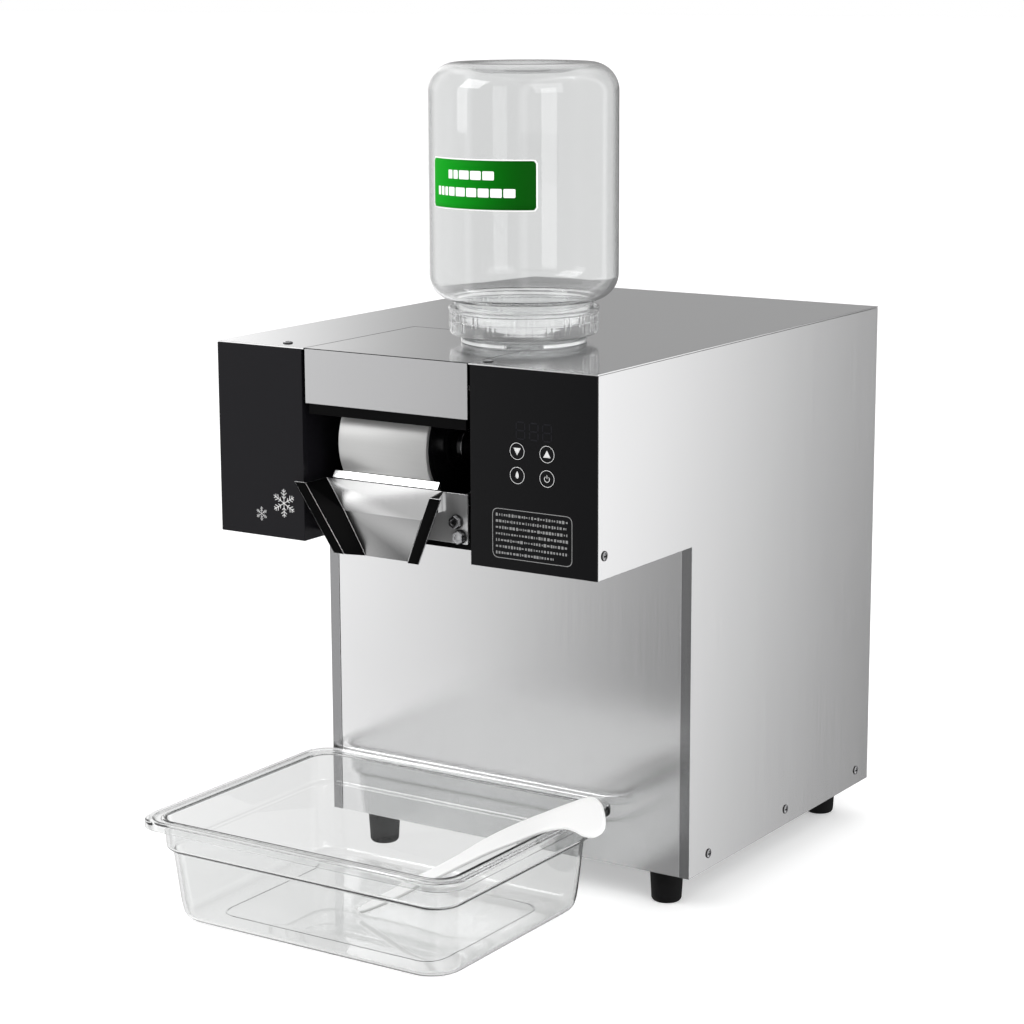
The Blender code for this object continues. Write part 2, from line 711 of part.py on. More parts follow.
def chute():
    """A folded back plate between two wings with turned-out lips, as one formed sheet."""

    def row(half_back, y_back, z_back, half_front, y_front, z_front, lip):
        right = [(half_back, y_back, z_back), (half_front, y_front, z_front)]
        right.append((half_front + lip, y_front, z_front))
        left = [(-x, y, z) for x, y, z in reversed(right)]
        return [(CHUTE_X + x, y, z) for x, y, z in [*left, *right]]

    rows = [
        row(0.0590, 0.0174, 0.3790, 0.0635, -0.0070, 0.3780, 0.0115),
        row(0.0395, 0.0149, 0.3530, 0.0506, -0.0022, 0.3530, 0.0112),
        row(0.0216, 0.0206, 0.3146, 0.0325, 0.0046, 0.3176, 0.0110),
    ]
    made = loft("chute", rows, BRIGHT, machine, SHEET)
    for index, x in enumerate((-0.055, -0.004)):
        low, high = (x - 0.004, 0.0166, 0.3425), (x + 0.004, BRACKET_Y - GAP, 0.3485)
        join(made, block(f"chute_post_{index}", low, high, None, machine))


blade()
blade_bracket()
chute()


# ---------------------------------------------------------------- drum cover


def drum_cover():
    """The removable top cover with its front flap, notched at the back corner for the bottle's spout."""
    notch_x = BOTTLE_X - SPOUT_CLEARANCE
    notch_y = BOTTLE_Y - SPOUT_CLEARANCE
    outline = [(COVER_LEFT, 0), (COVER_RIGHT, 0), (COVER_RIGHT, notch_y), (notch_x, notch_y)]
    outline += [(notch_x, COVER_BACK), (COVER_LEFT, COVER_BACK)]
    top = plate("drum_cover", "XY", [outline], (-SHEET, 0), STEEL, cover_slide)
    low = (COVER_LEFT, 0, FLAP_BOTTOM - BODY_TOP)
    join(top, block("cover_flap", low, (COVER_RIGHT, SHEET, -SHEET / 2), None, cover_slide))
    low = (COVER_LEFT + 0.003, SHEET + GAP, LIP_BOTTOM - BODY_TOP)
    high = (COVER_RIGHT - 0.003, SHEET + GAP + 0.0015, 0.452 - BODY_TOP)
    block("cover_lip", low, high, BLACK_SATIN, cover_slide)


drum_cover()


# ---------------------------------------------------------------- bottle


def bottle():
    """A clear bottle standing on its mouth."""
    round_top, round_shoulder = 0.024, 0.022
    top_centre = (BOTTLE_RADIUS - round_top, BOTTLE_TOP - round_top)
    shoulder_centre = (BOTTLE_RADIUS - round_shoulder, NECK_TOP + round_shoulder)
    profile = [(0, BOTTLE_TOP - 0.006), (0.044, BOTTLE_TOP - 0.004), (0.050, BOTTLE_TOP - 0.0004)]
    profile += arc(top_centre, round_top, 90, 0, 5)
    profile += arc(shoulder_centre, round_shoulder, 0, -84, 4)
    profile += [(NECK_RADIUS, NECK_TOP - 0.001), (NECK_RADIUS, NECK_BOTTOM)]
    turned("water_bottle", profile, CLEAR, bottle_lift, steps=36, wall=BOTTLE_WALL)


def bottle_cap():
    """A ribbed screw cap: a floor with the valve hole, and a skirt round the neck."""
    floor, top = 0.4956, 0.5215
    outer = [(0.0605, top), (0.0632, top), (CAP_RADIUS, top - 0.001), (CAP_RADIUS, 0.5005)]
    outer += [(0.0620, 0.4990), (0.0530, floor)]
    inner = [(0.008, floor), (0.008, floor + 0.002), (0.0600, floor + 0.002), (0.0605, floor + 0.0035)]
    turned("bottle_cap", outer + inner, CLEAR, bottle_lift, steps=36, ring=True)


def bottle_seat():
    """A clear ring on the top sheet with a spout through it, and a post that opens the valve."""
    floor, top, spout_end = BODY_TOP + GAP, 0.4950, 0.4660
    outer = [(SEAT_RADIUS - 0.003, top), (SEAT_RADIUS, top - 0.001), (SEAT_RADIUS, floor)]
    outer += [(SPOUT_RADIUS, floor), (SPOUT_RADIUS, spout_end)]
    inner = [(SPOUT_RADIUS - 0.002, spout_end), (SPOUT_RADIUS - 0.002, floor + 0.0015)]
    inner += [(SEAT_RADIUS - 0.006, floor + 0.0015), (SEAT_RADIUS - 0.006, top)]
    place = (BOTTLE_X, BOTTLE_Y, 0)
    seat = turned("bottle_seat", outer + inner, CLEAR, machine, place, steps=28, ring=True)
    web = block("seat_web", (-0.0125, -0.001, 0.468), (0.0125, 0.001, 0.471), None, machine, place)
    join(seat, web, rod("seat_post", "Z", 0.002, (0.469, 0.4925), None, machine, place, 12))


def valve():
    """The plunger that shuts the cap when the bottle is off its seat."""
    profile = [(0, 0.5040), (0.011, 0.5040), (0.011, 0.5020), (0.004, 0.5020), (0.004, 0.4928), (0, 0.4928)]
    turned("valve_plunger", profile, WHITE, bottle_lift, steps=24)


bottle()
bottle_cap()
bottle_seat()
valve()
tube_low, tube_high = 0.440, UNDER_TOP - 0.001
washer(
    "feed_tube", "Z", SPOUT_RADIUS + GAP, SPOUT_RADIUS + 0.002, (tube_low, tube_high), SILICONE, machine,
    (BOTTLE_X, BOTTLE_Y, 0),
)


# ---------------------------------------------------------------- pan and scoop


def catch_pan():
    """A clear food pan: rolled rim, stacking ledge a third of the way down, tapered walls, round corners."""
    half_x, half_y = PAN_LENGTH / 2, PAN_WIDTH / 2
    stations = [
        (0.0000, PAN_HEIGHT - 0.0070, 0.0250),
        (0.0000, PAN_HEIGHT - 0.0020, 0.0250),
        (0.0020, PAN_HEIGHT, 0.0235),
        (0.0050, PAN_HEIGHT, 0.0220),
        (0.0070, PAN_HEIGHT - 0.0015, 0.0210),
        (0.0120, PAN_HEIGHT - 0.0015, 0.0190),
        (0.0150, PAN_HEIGHT - 0.0045, 0.0190),
        (0.0160, PAN_HEIGHT - 0.0260, 0.0210),
        (0.0190, PAN_HEIGHT - 0.0285, 0.0210),
        (0.0225, 0.0120, 0.0270),
        (0.0245, 0.0050, 0.0280),
        (0.0300, PAN_WALL, 0.0260),
    ]
    rows = [rounded_ring(half_x - inset, half_y - inset, radius, z) for inset, z, radius in stations]
    loft("catch_pan", rows, CLEAR, pan_slide, PAN_WALL, closed=True, capped=True, side=1.0)


def scoop():
    """A flat plastic scraper that leans on the rim: a narrow blade, a wider grip and a hook at its end."""
    along = (SCOOP_END - SCOOP_TIP).normalized()
    level = Vector((0, 0, 1)).cross(along).normalized()
    across = Matrix.Rotation(SCOOP_ROLL, 3, along) @ level
    turn = Matrix((along, across, along.cross(across))).transposed().to_4x4()
    lower = [(0.000, -0.0012), (0.010, -0.0042), (0.040, -0.0062), (0.120, -0.0062), (0.162, -0.0097)]
    hook = [(0.190, -0.0130), (0.208, -0.0195), (0.224, -0.0350), (0.237, -0.0455), (0.2465, -0.0440)]
    end = [(0.2495, -0.0350), (0.2475, -0.0120), (0.2380, -0.0005)]
    upper = [(0.186, 0.0083), (0.132, 0.0112), (0.095, 0.0074), (0.040, 0.0062), (0.010, 0.0046), (0, 0.0014)]
    route = smooth_route([(*place, 0) for place in lower + hook + end + upper])
    outline = [(point.x, point.y) for point in route]
    place = SCOOP_TIP - Vector((PAN_X, PAN_Y, 0))
    body = plate("scoop", "XY", [outline], (0, SCOOP_THICK), WHITE, pan_slide, place)
    body.rotation_euler = turn.to_euler()


catch_pan()
scoop()


# ---------------------------------------------------------------- cooling unit


def compressor():
    """A welded steel pot on a flat base."""
    base = BODY_BOTTOM + SHEET + GAP
    profile = [(0, 0.205), (0.020, 0.2042), (0.040, 0.199), (0.054, 0.188), (0.061, 0.172), (0.062, 0.160)]
    profile += [(0.062, 0.062), (0.058, 0.050), (0.070, 0.046), (0.070, base), (0, base)]
    turned("compressor", profile, BLACK_SATIN, machine, (-0.080, 0.330, 0), steps=28)


def condenser():
    """A finned block in front of the fan."""
    base = BODY_BOTTOM + SHEET + GAP
    core = block("condenser", (0.000, 0.420, base), (0.170, 0.450, 0.250), ALUMINIUM, machine)
    fins = block("fin_gaps", (0.006, 0.438, base + 0.010), (0.012, 0.460, 0.245), None, machine)
    row = fins.modifiers.new("row", "ARRAY")
    row.count = 13
    row.use_relative_offset = False
    row.use_constant_offset = True
    row.constant_offset_displace = (0.0125, 0, 0)
    cut(core, fins)


def fan():
    """Five pitched blades on a hub, and the motor on its post behind them."""
    hub = turned("condenser_fan", [(0, 0.469), (0.014, 0.469), (0.016, 0.457), (0.010, 0.455), (0, 0.455)],
                 BLACK_SATIN, fan_axis, axis="Y", steps=24)
    for index in range(5):
        low, high = (0.010, -0.0008, -0.014), (FAN_RADIUS, 0.0008, 0.014)
        spoke = block(f"fan_blade_{index}", low, high, None, fan_axis)
        spoke.location = (0, 0.462, 0)
        turn = Matrix.Rotation(math.radians(72 * index), 4, "Y")
        pitch = Matrix.Rotation(math.radians(-30), 4, "X")
        spoke.rotation_euler = (turn @ pitch).to_euler()
        join(hub, spoke)
    motor = rod("fan_motor", "Y", 0.022, (0.4705, 0.494), GREY_PLASTIC, machine, (FAN_X, 0, FAN_Z))
    base = BODY_BOTTOM + SHEET + GAP
    low, high = (FAN_X - 0.006, 0.480, base), (FAN_X + 0.006, 0.484, FAN_Z)
    join(motor, block("fan_post", low, high, None, machine))


def pipes():
    """The suction pipe from the drum's left end, and the pipe from the compressor to the condenser."""
    route = [(-0.080, 0.330, 0.2060), (-0.080, 0.330, 0.230), (-0.105, 0.290, 0.270), (-0.140, 0.225, 0.300)]
    route += [(-0.148, 0.200, 0.340), (-0.148, 0.160, 0.385), (-0.148, 0.110, 0.408), (-0.145, 0.082, 0.410)]
    route += [(-0.134, 0.0665, 0.410), (-0.1168, DRUM_Y, DRUM_Z)]
    tube("suction_pipe", route, 0.004, COPPER, machine)
    route = [(-0.0175, 0.330, 0.120), (0.000, 0.332, 0.122), (0.020, 0.350, 0.150), (0.030, 0.385, 0.210)]
    route += [(0.032, 0.405, 0.228), (0.032, 0.4195, 0.230)]
    tube("condenser_pipe", route, 0.003, COPPER, machine)


def mains():
    """The mains inlet with its plug recess, and a rocker beside it that rests tilted at off."""
    face = BODY_BACK + GAP
    outside = BODY_BACK + INLET_PROUD
    low, high = (INLET_X[0], face, INLET_Z[0]), (INLET_X[1], outside, INLET_Z[1])
    inlet = block("power_inlet", low, high, BLACK_SATIN, machine)
    low = (INLET_X[0] + 0.004, 0.484, INLET_Z[0] + 0.003)
    high = (INLET_X[1] - 0.004, face + 0.001, INLET_Z[1] - 0.003)
    join(inlet, block("inlet_body", low, high, None, machine))
    recess = block("plug_recess", (-0.1435, 0.488, 0.066), (-0.1165, outside + 0.001, 0.084), None, machine)
    low = (ROCKER_X - 0.0066, 0.492, ROCKER_Z - 0.0109)
    high = (ROCKER_X + 0.0066, outside + 0.001, ROCKER_Z + 0.0109)
    well = block("rocker_well", low, high, None, machine)
    cut(inlet, recess, well)
    low, high = (-0.0062, -0.0040, -0.0095), (0.0062, 0.0038, 0.0095)
    rocker = block("rocker_switch", low, high, RUBBER, rocker_pivot)
    rocker.rotation_euler = (ROCKER_TILT, 0, 0)


compressor()
condenser()
fan()
pipes()
mains()


# ---------------------------------------------------------------- visible screws


def screw_mesh():
    """A pan-head cross screw standing along +Z, its head's underside at zero."""
    dome = [(0, SCREW_PROUD), (0.0018, SCREW_PROUD - 0.0001), (0.0033, SCREW_PROUD - 0.0006)]
    dome += [(SCREW_HEAD, 0.0003), (SCREW_HEAD, 0), (0.0018, 0), (0.0018, -0.0055), (0, -0.0055)]
    master = turned("screw_master", dome, ZINC, None, steps=14)
    for index, (x, y) in enumerate(((0.0025, 0.0005), (0.0005, 0.0025))):
        cut(master, block(f"cross_{index}", (-x, -y, 0.0006), (x, y, SCREW_PROUD + 0.001), None, None))
    bpy.context.view_layer.update()
    mesh = bpy.data.meshes.new_from_object(master.evaluated_get(bpy.context.evaluated_depsgraph_get()))
    bpy.data.objects.remove(master)
    return mesh


shared_screw = screw_mesh()
for number, (screw_y, screw_z) in enumerate(SIDE_SCREWS, 1):
    fixed = bpy.data.objects.new(f"side_screw_{number}", shared_screw)
    fixed.location = (BODY_HALF + GAP, screw_y, screw_z)
    fixed.rotation_euler = AXIS_TURN["X"]
    fixed.parent = machine
    parts.objects.link(fixed)
for screw_name, (screw_x, screw_y) in TOP_SCREWS.items():
    fixed = bpy.data.objects.new(screw_name, shared_screw)
    fixed.location = (screw_x, screw_y, BODY_TOP + GAP)
    fixed.parent = machine
    parts.objects.link(fixed)
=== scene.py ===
# %% [markdown]
# A countertop snow-ice machine, finished piece by piece around its CAD model. The CAD gives every size and
# joint. This script gives the looks: rounded sheet edges, clear moulded plastic, prints and finishes.

# %% Load the frame
import json

import bmesh
import bpy
import numpy as np
from mathutils import Matrix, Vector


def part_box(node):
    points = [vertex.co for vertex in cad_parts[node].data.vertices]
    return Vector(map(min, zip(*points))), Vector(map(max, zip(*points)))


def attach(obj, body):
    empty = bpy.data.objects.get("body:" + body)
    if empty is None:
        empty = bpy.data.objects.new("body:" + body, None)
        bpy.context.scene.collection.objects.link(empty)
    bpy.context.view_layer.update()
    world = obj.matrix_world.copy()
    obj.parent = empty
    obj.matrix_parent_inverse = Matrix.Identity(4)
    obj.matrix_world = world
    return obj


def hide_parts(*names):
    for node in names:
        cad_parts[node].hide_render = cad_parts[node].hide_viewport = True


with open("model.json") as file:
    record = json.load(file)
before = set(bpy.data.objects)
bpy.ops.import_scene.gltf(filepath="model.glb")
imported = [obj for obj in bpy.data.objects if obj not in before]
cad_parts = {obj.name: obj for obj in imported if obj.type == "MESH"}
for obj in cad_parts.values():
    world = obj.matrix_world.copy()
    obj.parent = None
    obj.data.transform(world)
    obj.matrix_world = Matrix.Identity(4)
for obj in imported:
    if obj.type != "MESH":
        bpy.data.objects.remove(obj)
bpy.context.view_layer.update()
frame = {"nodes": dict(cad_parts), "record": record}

# %% [markdown]
# Places are easiest to read from the machine itself: X from the middle of its body, Y back from the front
# face of its head, Z up from the table. Two CAD boxes tell where that corner of the world is, so every
# later number can be a plain distance on the machine.

# %% Machine frame
BODY_HALF = 0.190
MID_X = (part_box("side_panel_left")[0].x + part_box("side_panel_right")[1].x) / 2
FACE_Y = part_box("control_panel")[0].y
HOME = np.array([MID_X, FACE_Y, 0.0])
RECORD = frame["record"]
BODY_OF = {node: body for body, nodes in RECORD["behaviour"]["bodies"].items() for node in nodes}
print("machine frame starts at", np.round(HOME, 4), "with", len(BODY_OF), "nodes")

# %% [markdown]
# A shape here is a grid of points, worked out by one formula for all of them at once. Neighbouring rows and
# columns make the faces. Points that coincide, at a seam or a pole, are merged, so a closed shape is closed.

# %% Surface from a grid


def surface(name, grid, around=False, closed=False, flat=None):
    """Faces between neighbours; around joins the last column to the first, closed does so for the rows."""
    rows, columns = grid.shape[:2]
    index = np.arange(rows * columns).reshape(rows, columns)
    if around:
        index = np.concatenate([index, index[:, :1]], axis=1)
    if closed:
        index = np.concatenate([index, index[:1]], axis=0)
    corners = [index[:-1, :-1], index[1:, :-1], index[1:, 1:], index[:-1, 1:]]
    quads = np.stack(corners, axis=-1).reshape(-1, 4)
    mesh = bpy.data.meshes.new(name)
    mesh.from_pydata((grid.reshape(-1, 3) + HOME).tolist(), [], quads.tolist())
    return link(name, merged(mesh), flat)


def merged(mesh, reach=1e-6):
    """Welds points that coincide and turns every face outwards."""
    shape = bmesh.new()
    shape.from_mesh(mesh)
    bmesh.ops.remove_doubles(shape, verts=shape.verts, dist=reach)
    bmesh.ops.dissolve_degenerate(shape, edges=shape.edges, dist=reach / 10)
    bmesh.ops.recalc_face_normals(shape, faces=shape.faces)
    shape.to_mesh(mesh)
    shape.free()
    return mesh


def link(name, mesh, flat=None):
    """Puts a mesh in the scene, smooth but for edges sharper than flat degrees."""
    mesh.shade_smooth()
    if flat is not None:
        mesh.set_sharp_from_angle(angle=np.radians(flat))
    piece = bpy.data.objects.new(name, mesh)
    bpy.context.scene.collection.objects.link(piece)
    return piece


# %% [markdown]
# Most edges of formed metal and moulded plastic are small curves. One helper rounds the corners of any
# route: each corner becomes a quadratic curve between two points a short reach away from it. Two more give a
# route its wall, and a last one draws a flowing line through given points.

# %% Rounded routes


def softened(points, reach, steps=5, loop=False):
    """(1-t)^2 a + 2t(1-t) corner + t^2 b, where a and b lie a reach before and after each corner."""
    points = np.asarray(points, float)
    reach = np.broadcast_to(np.asarray(reach, float), len(points))[:, None]
    before, after = np.roll(points, 1, axis=0), np.roll(points, -1, axis=0)
    if not loop:
        before[0], after[-1] = points[0], points[-1]

    def toward(other):
        way = other - points
        length = np.linalg.norm(way, axis=1, keepdims=True)
        return points + way / np.maximum(length, 1e-9) * np.minimum(reach, length * 0.49)

    t = np.linspace(0, 1, steps)[None, :, None]
    bend = (1 - t) ** 2 * toward(before)[:, None] + 2 * t * (1 - t) * points[:, None]
    return (bend + t**2 * toward(after)[:, None]).reshape(-1, points.shape[1])


def distinct(route):
    """The route without the points that repeat the one before."""
    keep = np.concatenate([[True], np.linalg.norm(np.diff(route, axis=0), axis=1) > 1e-5])
    return route[keep]


def thickened(route, wall):
    """The route again, one wall's thickness to the right of the way it runs."""
    along = np.gradient(route, axis=0)
    along /= np.maximum(np.linalg.norm(along, axis=1, keepdims=True), 1e-9)
    return route + wall * np.stack([along[:, 1], -along[:, 0]], axis=1)


def flowing(points, steps=6):
    """Catmull-Rom: p1 + t(p2-p0)/2 + t^2(2p0-5p1+4p2-p3)/2 + t^3(3p1-p0-3p2+p3)/2, between each p1 and p2."""
    points = np.asarray(points, float)
    padded = np.concatenate([2 * points[:1] - points[1:2], points, 2 * points[-1:] - points[-2:-1]])
    p0, p1, p2, p3 = (padded[shift : shift + len(points) - 1][:, None] for shift in range(4))
    t = np.arange(steps)[None, :, None] / steps
    bend = t**2 * (2 * p0 - 5 * p1 + 4 * p2 - p3) + t**3 * (3 * p1 - p0 - 3 * p2 + p3)
    route = p1 + (t * (p2 - p0) + bend) / 2
    return np.concatenate([route.reshape(-1, points.shape[1]), points[-1:]])


# %% [markdown]
# Bottles, caps, feet and shafts are turned shapes: a profile of radius and height carried round an axis.
# A radius may also change with the angle, which makes ribs and hexagons from the same formula.

# %% Turned shapes
AXES = {"Z": (0, 1, 2), "X": (2, 0, 1), "Y": (1, 2, 0)}


def turned(name, profile, place, axis="Z", sides=96, closed=False, ripple=None, flat=None):
    """x = r cos a, y = r sin a, z = h for each profile row; ripple(row radius, angle) adds to the radius."""
    radius, height = np.asarray(profile, float).T[:, :, None]
    angle = np.linspace(0, 2 * np.pi, sides, endpoint=False)[None, :]
    grown = radius if ripple is None else ripple(radius, height, angle)
    shape = np.stack([grown * np.cos(angle), grown * np.sin(angle), height + 0 * angle], axis=-1)
    return surface(name, shape[..., AXES[axis]] + np.array(place), True, closed, flat)


# %% [markdown]
# A material is read best as a sum. A small class wraps a socket, so an expression such as
# `0.2 + grain * 0.1` adds the Math nodes by itself. A second class holds one material, and its `node`
# method makes every other kind of node.

# %% Shader sums


class Wire:
    """The output of a node, which can be used in sums."""

    def __init__(self, paint, socket):
        self.paint, self.socket = paint, socket

    def sum(self, operation, first, second=0.0):
        return self.paint.node("ShaderNodeMath", {"operation": operation}, {0: first, 1: second})

    def __add__(self, other):
        return self.sum("ADD", self, other)

    def __sub__(self, other):
        return self.sum("SUBTRACT", self, other)

    def __rsub__(self, other):
        return self.sum("SUBTRACT", other, self)

    def __mul__(self, other):
        return self.sum("MULTIPLY", self, other)

    def __abs__(self):
        return self.sum("ABSOLUTE", self)

    __radd__, __rmul__ = __add__, __mul__

    def ramp(self, low, high, to_low=0.0, to_high=1.0):
        """Goes smoothly from to_low to to_high while this goes from low to high."""
        values = {"Value": self, "From Min": low, "From Max": high, "To Min": to_low, "To Max": to_high}
        return self.paint.node("ShaderNodeMapRange", {"interpolation_type": "SMOOTHSTEP"}, values)


class Paint:
    """One material or world, and the nodes that feed it."""

    def __init__(self, name, holder=None, **sockets):
        self.holder = holder or bpy.data.materials.new(name)
        self.holder.use_nodes = True
        self.tree = self.holder.node_tree
        self.shader = self.tree.nodes.get("Principled BSDF")
        self.feed(**sockets)

    def join(self, value, socket):
        if isinstance(value, Wire):
            self.tree.links.new(value.socket, socket)
        elif isinstance(value, tuple) and len(value) == 3 and socket.type == "RGBA":
            socket.default_value = (*value, 1.0)
        else:
            socket.default_value = value

    def node(self, kind, settings=None, sockets=None, output=0):
        made = self.tree.nodes.new(kind)
        for key, value in (settings or {}).items():
            setattr(made, key, value)
        for key, value in (sockets or {}).items():
            self.join(value, made.inputs[key])
        return Wire(self, made.outputs[output])

    def feed(self, **sockets):
        for key, value in sockets.items():
            self.join(value, self.shader.inputs[key.replace("_", " ")])
        return self

    def place(self, axis=None):
        """Object coordinates, or one axis of them."""
        where = self.node("ShaderNodeTexCoord", output=3)
        if axis is None:
            return where
        return self.node("ShaderNodeSeparateXYZ", {}, {0: where}, "XYZ".index(axis))

    def noise(self, scale, stretch=(1, 1, 1), detail=2.0):
        """Noise whose grains are stretched along the axes with small factors."""
        pulled = self.node("ShaderNodeVectorMath", {"operation": "MULTIPLY"}, {0: self.place(), 1: stretch})
        return self.node("ShaderNodeTexNoise", {}, {"Vector": pulled, "Scale": scale, "Detail": detail})

    def blend(self, factor, first, second):
        """A colour between two others."""
        return self.node("ShaderNodeMix", {"data_type": "RGBA"}, {0: factor, 6: first, 7: second}, 2)

    def bump(self, height, depth, strength=1.0):
        """Tilts the surface by a height pattern."""
        sockets = {"Height": height, "Distance": depth, "Strength": strength}
        return self.feed(Normal=self.node("ShaderNodeBump", {}, sockets))


# %% [markdown]
# The casing is brushed stainless steel. Its grain is thousands of fine parallel scratches, so the noise is
# stretched hard along one axis and feeds the colour, the roughness and a shallow bump together. A broad,
# faint cloud keeps large sheets from looking printed.

# %% Brushed and bright metal


def brushed(name, grain, base=(0.70, 0.70, 0.705), rough=0.20, depth=0.000004, metal=1.0):
    """Steel with its scratches along one axis: the noise is drawn out 60 times that way."""
    paint = Paint(name, Metallic=metal)
    stretch = tuple(0.016 if axis == grain else 1.0 for axis in "XYZ")
    fine = paint.noise(1800, stretch, 3.0)
    broad = paint.noise(420, stretch, 2.0)
    cloud = paint.noise(7)
    streak = fine * 0.6 + broad * 0.4
    light = tuple(value * 1.06 for value in base)
    dark = tuple(value * 0.94 for value in base)
    paint.feed(Base_Color=paint.blend(streak, dark, light))
    paint.feed(Roughness=rough - 0.04 + streak * 0.06 + cloud * 0.03)
    return paint.bump(streak, depth, 0.5).holder


def worn_metal(name, base, rough, scale=90, depth=0.00002):
    """Plain metal with soft blotches in its roughness and a faint unevenness."""
    paint = Paint(name, Metallic=1.0)
    patch = paint.noise(scale, detail=4.0)
    light = tuple(min(1.0, value * 1.08) for value in base)
    dark = tuple(value * 0.90 for value in base)
    paint.feed(Base_Color=paint.blend(patch, dark, light), Roughness=rough - 0.06 + patch * 0.12)
    return paint.bump(patch, depth, 0.4).holder


STEEL_SIDE = brushed("steel_side", "Z", rough=0.17)
STEEL_TOP = brushed("steel_top", "X", rough=0.12)
STEEL_FRONT = brushed("steel_front", "Z", rough=0.20)
# A darker copy of the steel for the cover's front flap: painted shade on the face that looks forward.
STEEL_FLAP_SHADE = brushed("steel_flap_shade", "Z", (0.48, 0.48, 0.485), 0.24, 0.000001)
# A darker copy of the side steel: painted shade for the flange deep in the recess.
FLANGE_SHADE = brushed("steel_flange_shade", "Z", (0.30, 0.30, 0.305), 0.24, 0.000001)
# A brighter steel for the rounded edges: a painted highlight along them.
EDGE_HIGHLIGHT = worn_metal("edge_highlight", (0.86, 0.86, 0.87), 0.20)
BRIGHT = worn_metal("bright_steel", (0.74, 0.74, 0.75), 0.20)
ZINC = worn_metal("zinc_plate", (0.60, 0.61, 0.62), 0.34, 60)
DRUM_METAL = brushed("drum_satin", "X", (0.53, 0.53, 0.525), 0.34, metal=0.6)
# Near-black metal: painted shade in recesses, seams and under bolt heads.
SEAM_SHADE = worn_metal("shaded_seam", (0.05, 0.05, 0.05), 0.45)
BOLT = worn_metal("bolt_zinc", (0.42, 0.42, 0.43), 0.24, 300)
BRACKET = brushed("bracket_steel", "Z", (0.62, 0.62, 0.62), 0.22, 0.000001, 0.7)
COPPER = worn_metal("copper_pipe", (0.72, 0.38, 0.24), 0.30)
ALUMINIUM = worn_metal("aluminium_fins", (0.72, 0.73, 0.74), 0.42)
BRASS = worn_metal("gear_brass", (0.70, 0.53, 0.24), 0.32)
print("metals", [metal.name for metal in (STEEL_SIDE, BRIGHT, DRUM_METAL)])

# %% [markdown]
# The black parts are two finishes: the control panel and left cover are smooth and only slightly glossy,
# and the wings of the chute and the inside of the bay are satin. Both stay very dark, with a fine pebble
# that breaks up their reflections. The satin black also serves as painted shade: in the seam between the
# top sheet and its cover, and on the lip under the cover's flap.

# %% Plastics and paints


def plastic(name, base, rough, pebble=900, depth=0.00001, specular=0.5):
    """An even colour with a fine moulded texture and slow changes in gloss."""
    paint = Paint(name, Specular_IOR_Level=specular)
    grain = paint.noise(pebble, detail=2.0)
    cloud = paint.noise(12, detail=3.0)
    light = tuple(min(1.0, value * 1.10) for value in base)
    paint.feed(Base_Color=paint.blend(cloud, base, light), Roughness=rough - 0.03 + cloud * 0.06)
    return paint.bump(grain, depth, 0.35).holder


FASCIA = plastic("black_fascia", (0.0038, 0.0038, 0.0043), 0.14, specular=0.10)
COVER_BLACK = plastic("black_cover", (0.0065, 0.0062, 0.0078), 0.26, specular=0.12)
SATIN_AND_SHADE = plastic("black_satin", (0.0015, 0.0015, 0.0016), 0.40, 700, 0.00002, 0.05)
WING = plastic("wing_black", (0.0006, 0.0006, 0.0007), 0.30, 700, 0.00001, 0.03)
RUBBER = plastic("black_rubber", (0.0040, 0.0040, 0.0042), 0.75, 500, 0.00004, 0.15)
WHITE = plastic("white_plastic", (0.86, 0.86, 0.855), 0.30)
GREY = plastic("grey_plastic", (0.28, 0.29, 0.30), 0.45)
MOTOR = plastic("motor_paint", (0.10, 0.11, 0.12), 0.50)
PRINT = plastic("print_white", (0.62, 0.62, 0.62), 0.55)
GHOST = plastic("display_ghost", (0.0085, 0.0085, 0.0110), 0.30, specular=0.10)
PRINT_GREY = plastic("print_grey", (0.20, 0.20, 0.20), 0.55)
LABEL_WHITE = plastic("label_white", (0.90, 0.90, 0.90), 0.50, specular=0.2)
SILICONE = plastic("silicone", (0.75, 0.77, 0.78), 0.50)


def circuit_board():
    """Green lacquer over darker tracks, which follow the edges of square cells."""
    paint = Paint("board_green", Specular_IOR_Level=0.4)
    sockets = {"Vector": paint.place(), "Scale": 260.0}
    cells = paint.node("ShaderNodeTexVoronoi", {"distance": "MANHATTAN"}, sockets)
    track = cells.ramp(0.25, 0.32)
    paint.feed(Base_Color=paint.blend(track, (0.010, 0.085, 0.035), (0.020, 0.17, 0.07)))
    return paint.feed(Roughness=0.30 + track * 0.15).bump(track, 0.00003).holder


BOARD = circuit_board()

# %% [markdown]
# Bottle, cap, seat and pan are clear plastic. Real glass shading bends the view through each wall, and the
# light path node lets lamps shine through, so that a clear piece doesn't throw a solid shadow.

# %% Clear plastic


def clear(name, tint, rough=0.02, through=1.0, rim_shade=0.5):
    """Refracting plastic with painted shade where it is seen edge on, and open to rays on their way to a
    lamp.
    """
    paint = Paint(name, IOR=1.46, Transmission_Weight=through)
    # Painted shade: the colour falls towards the tint times the rim factor where the surface is seen edge on.
    edge_on_shade = paint.node("ShaderNodeLayerWeight", {}, {"Blend": 0.5}, 1).ramp(0.62, 0.95)
    paint.feed(Base_Color=paint.blend(edge_on_shade, tint, tuple(part * rim_shade for part in tint)))
    patch = paint.noise(40, detail=2.0)
    paint.feed(Roughness=rough + patch * 0.02)
    paint.bump(patch, 0.0001, 0.10)
    open_way = paint.node("ShaderNodeBsdfTransparent", {}, {"Color": tint})
    shadow = paint.node("ShaderNodeLightPath", output=1)
    shell = Wire(paint, paint.shader.outputs[0])
    mixed = paint.node("ShaderNodeMixShader", {}, {0: shadow, 1: shell, 2: open_way})
    paint.join(mixed, paint.tree.nodes["Material Output"].inputs["Surface"])
    return paint.holder


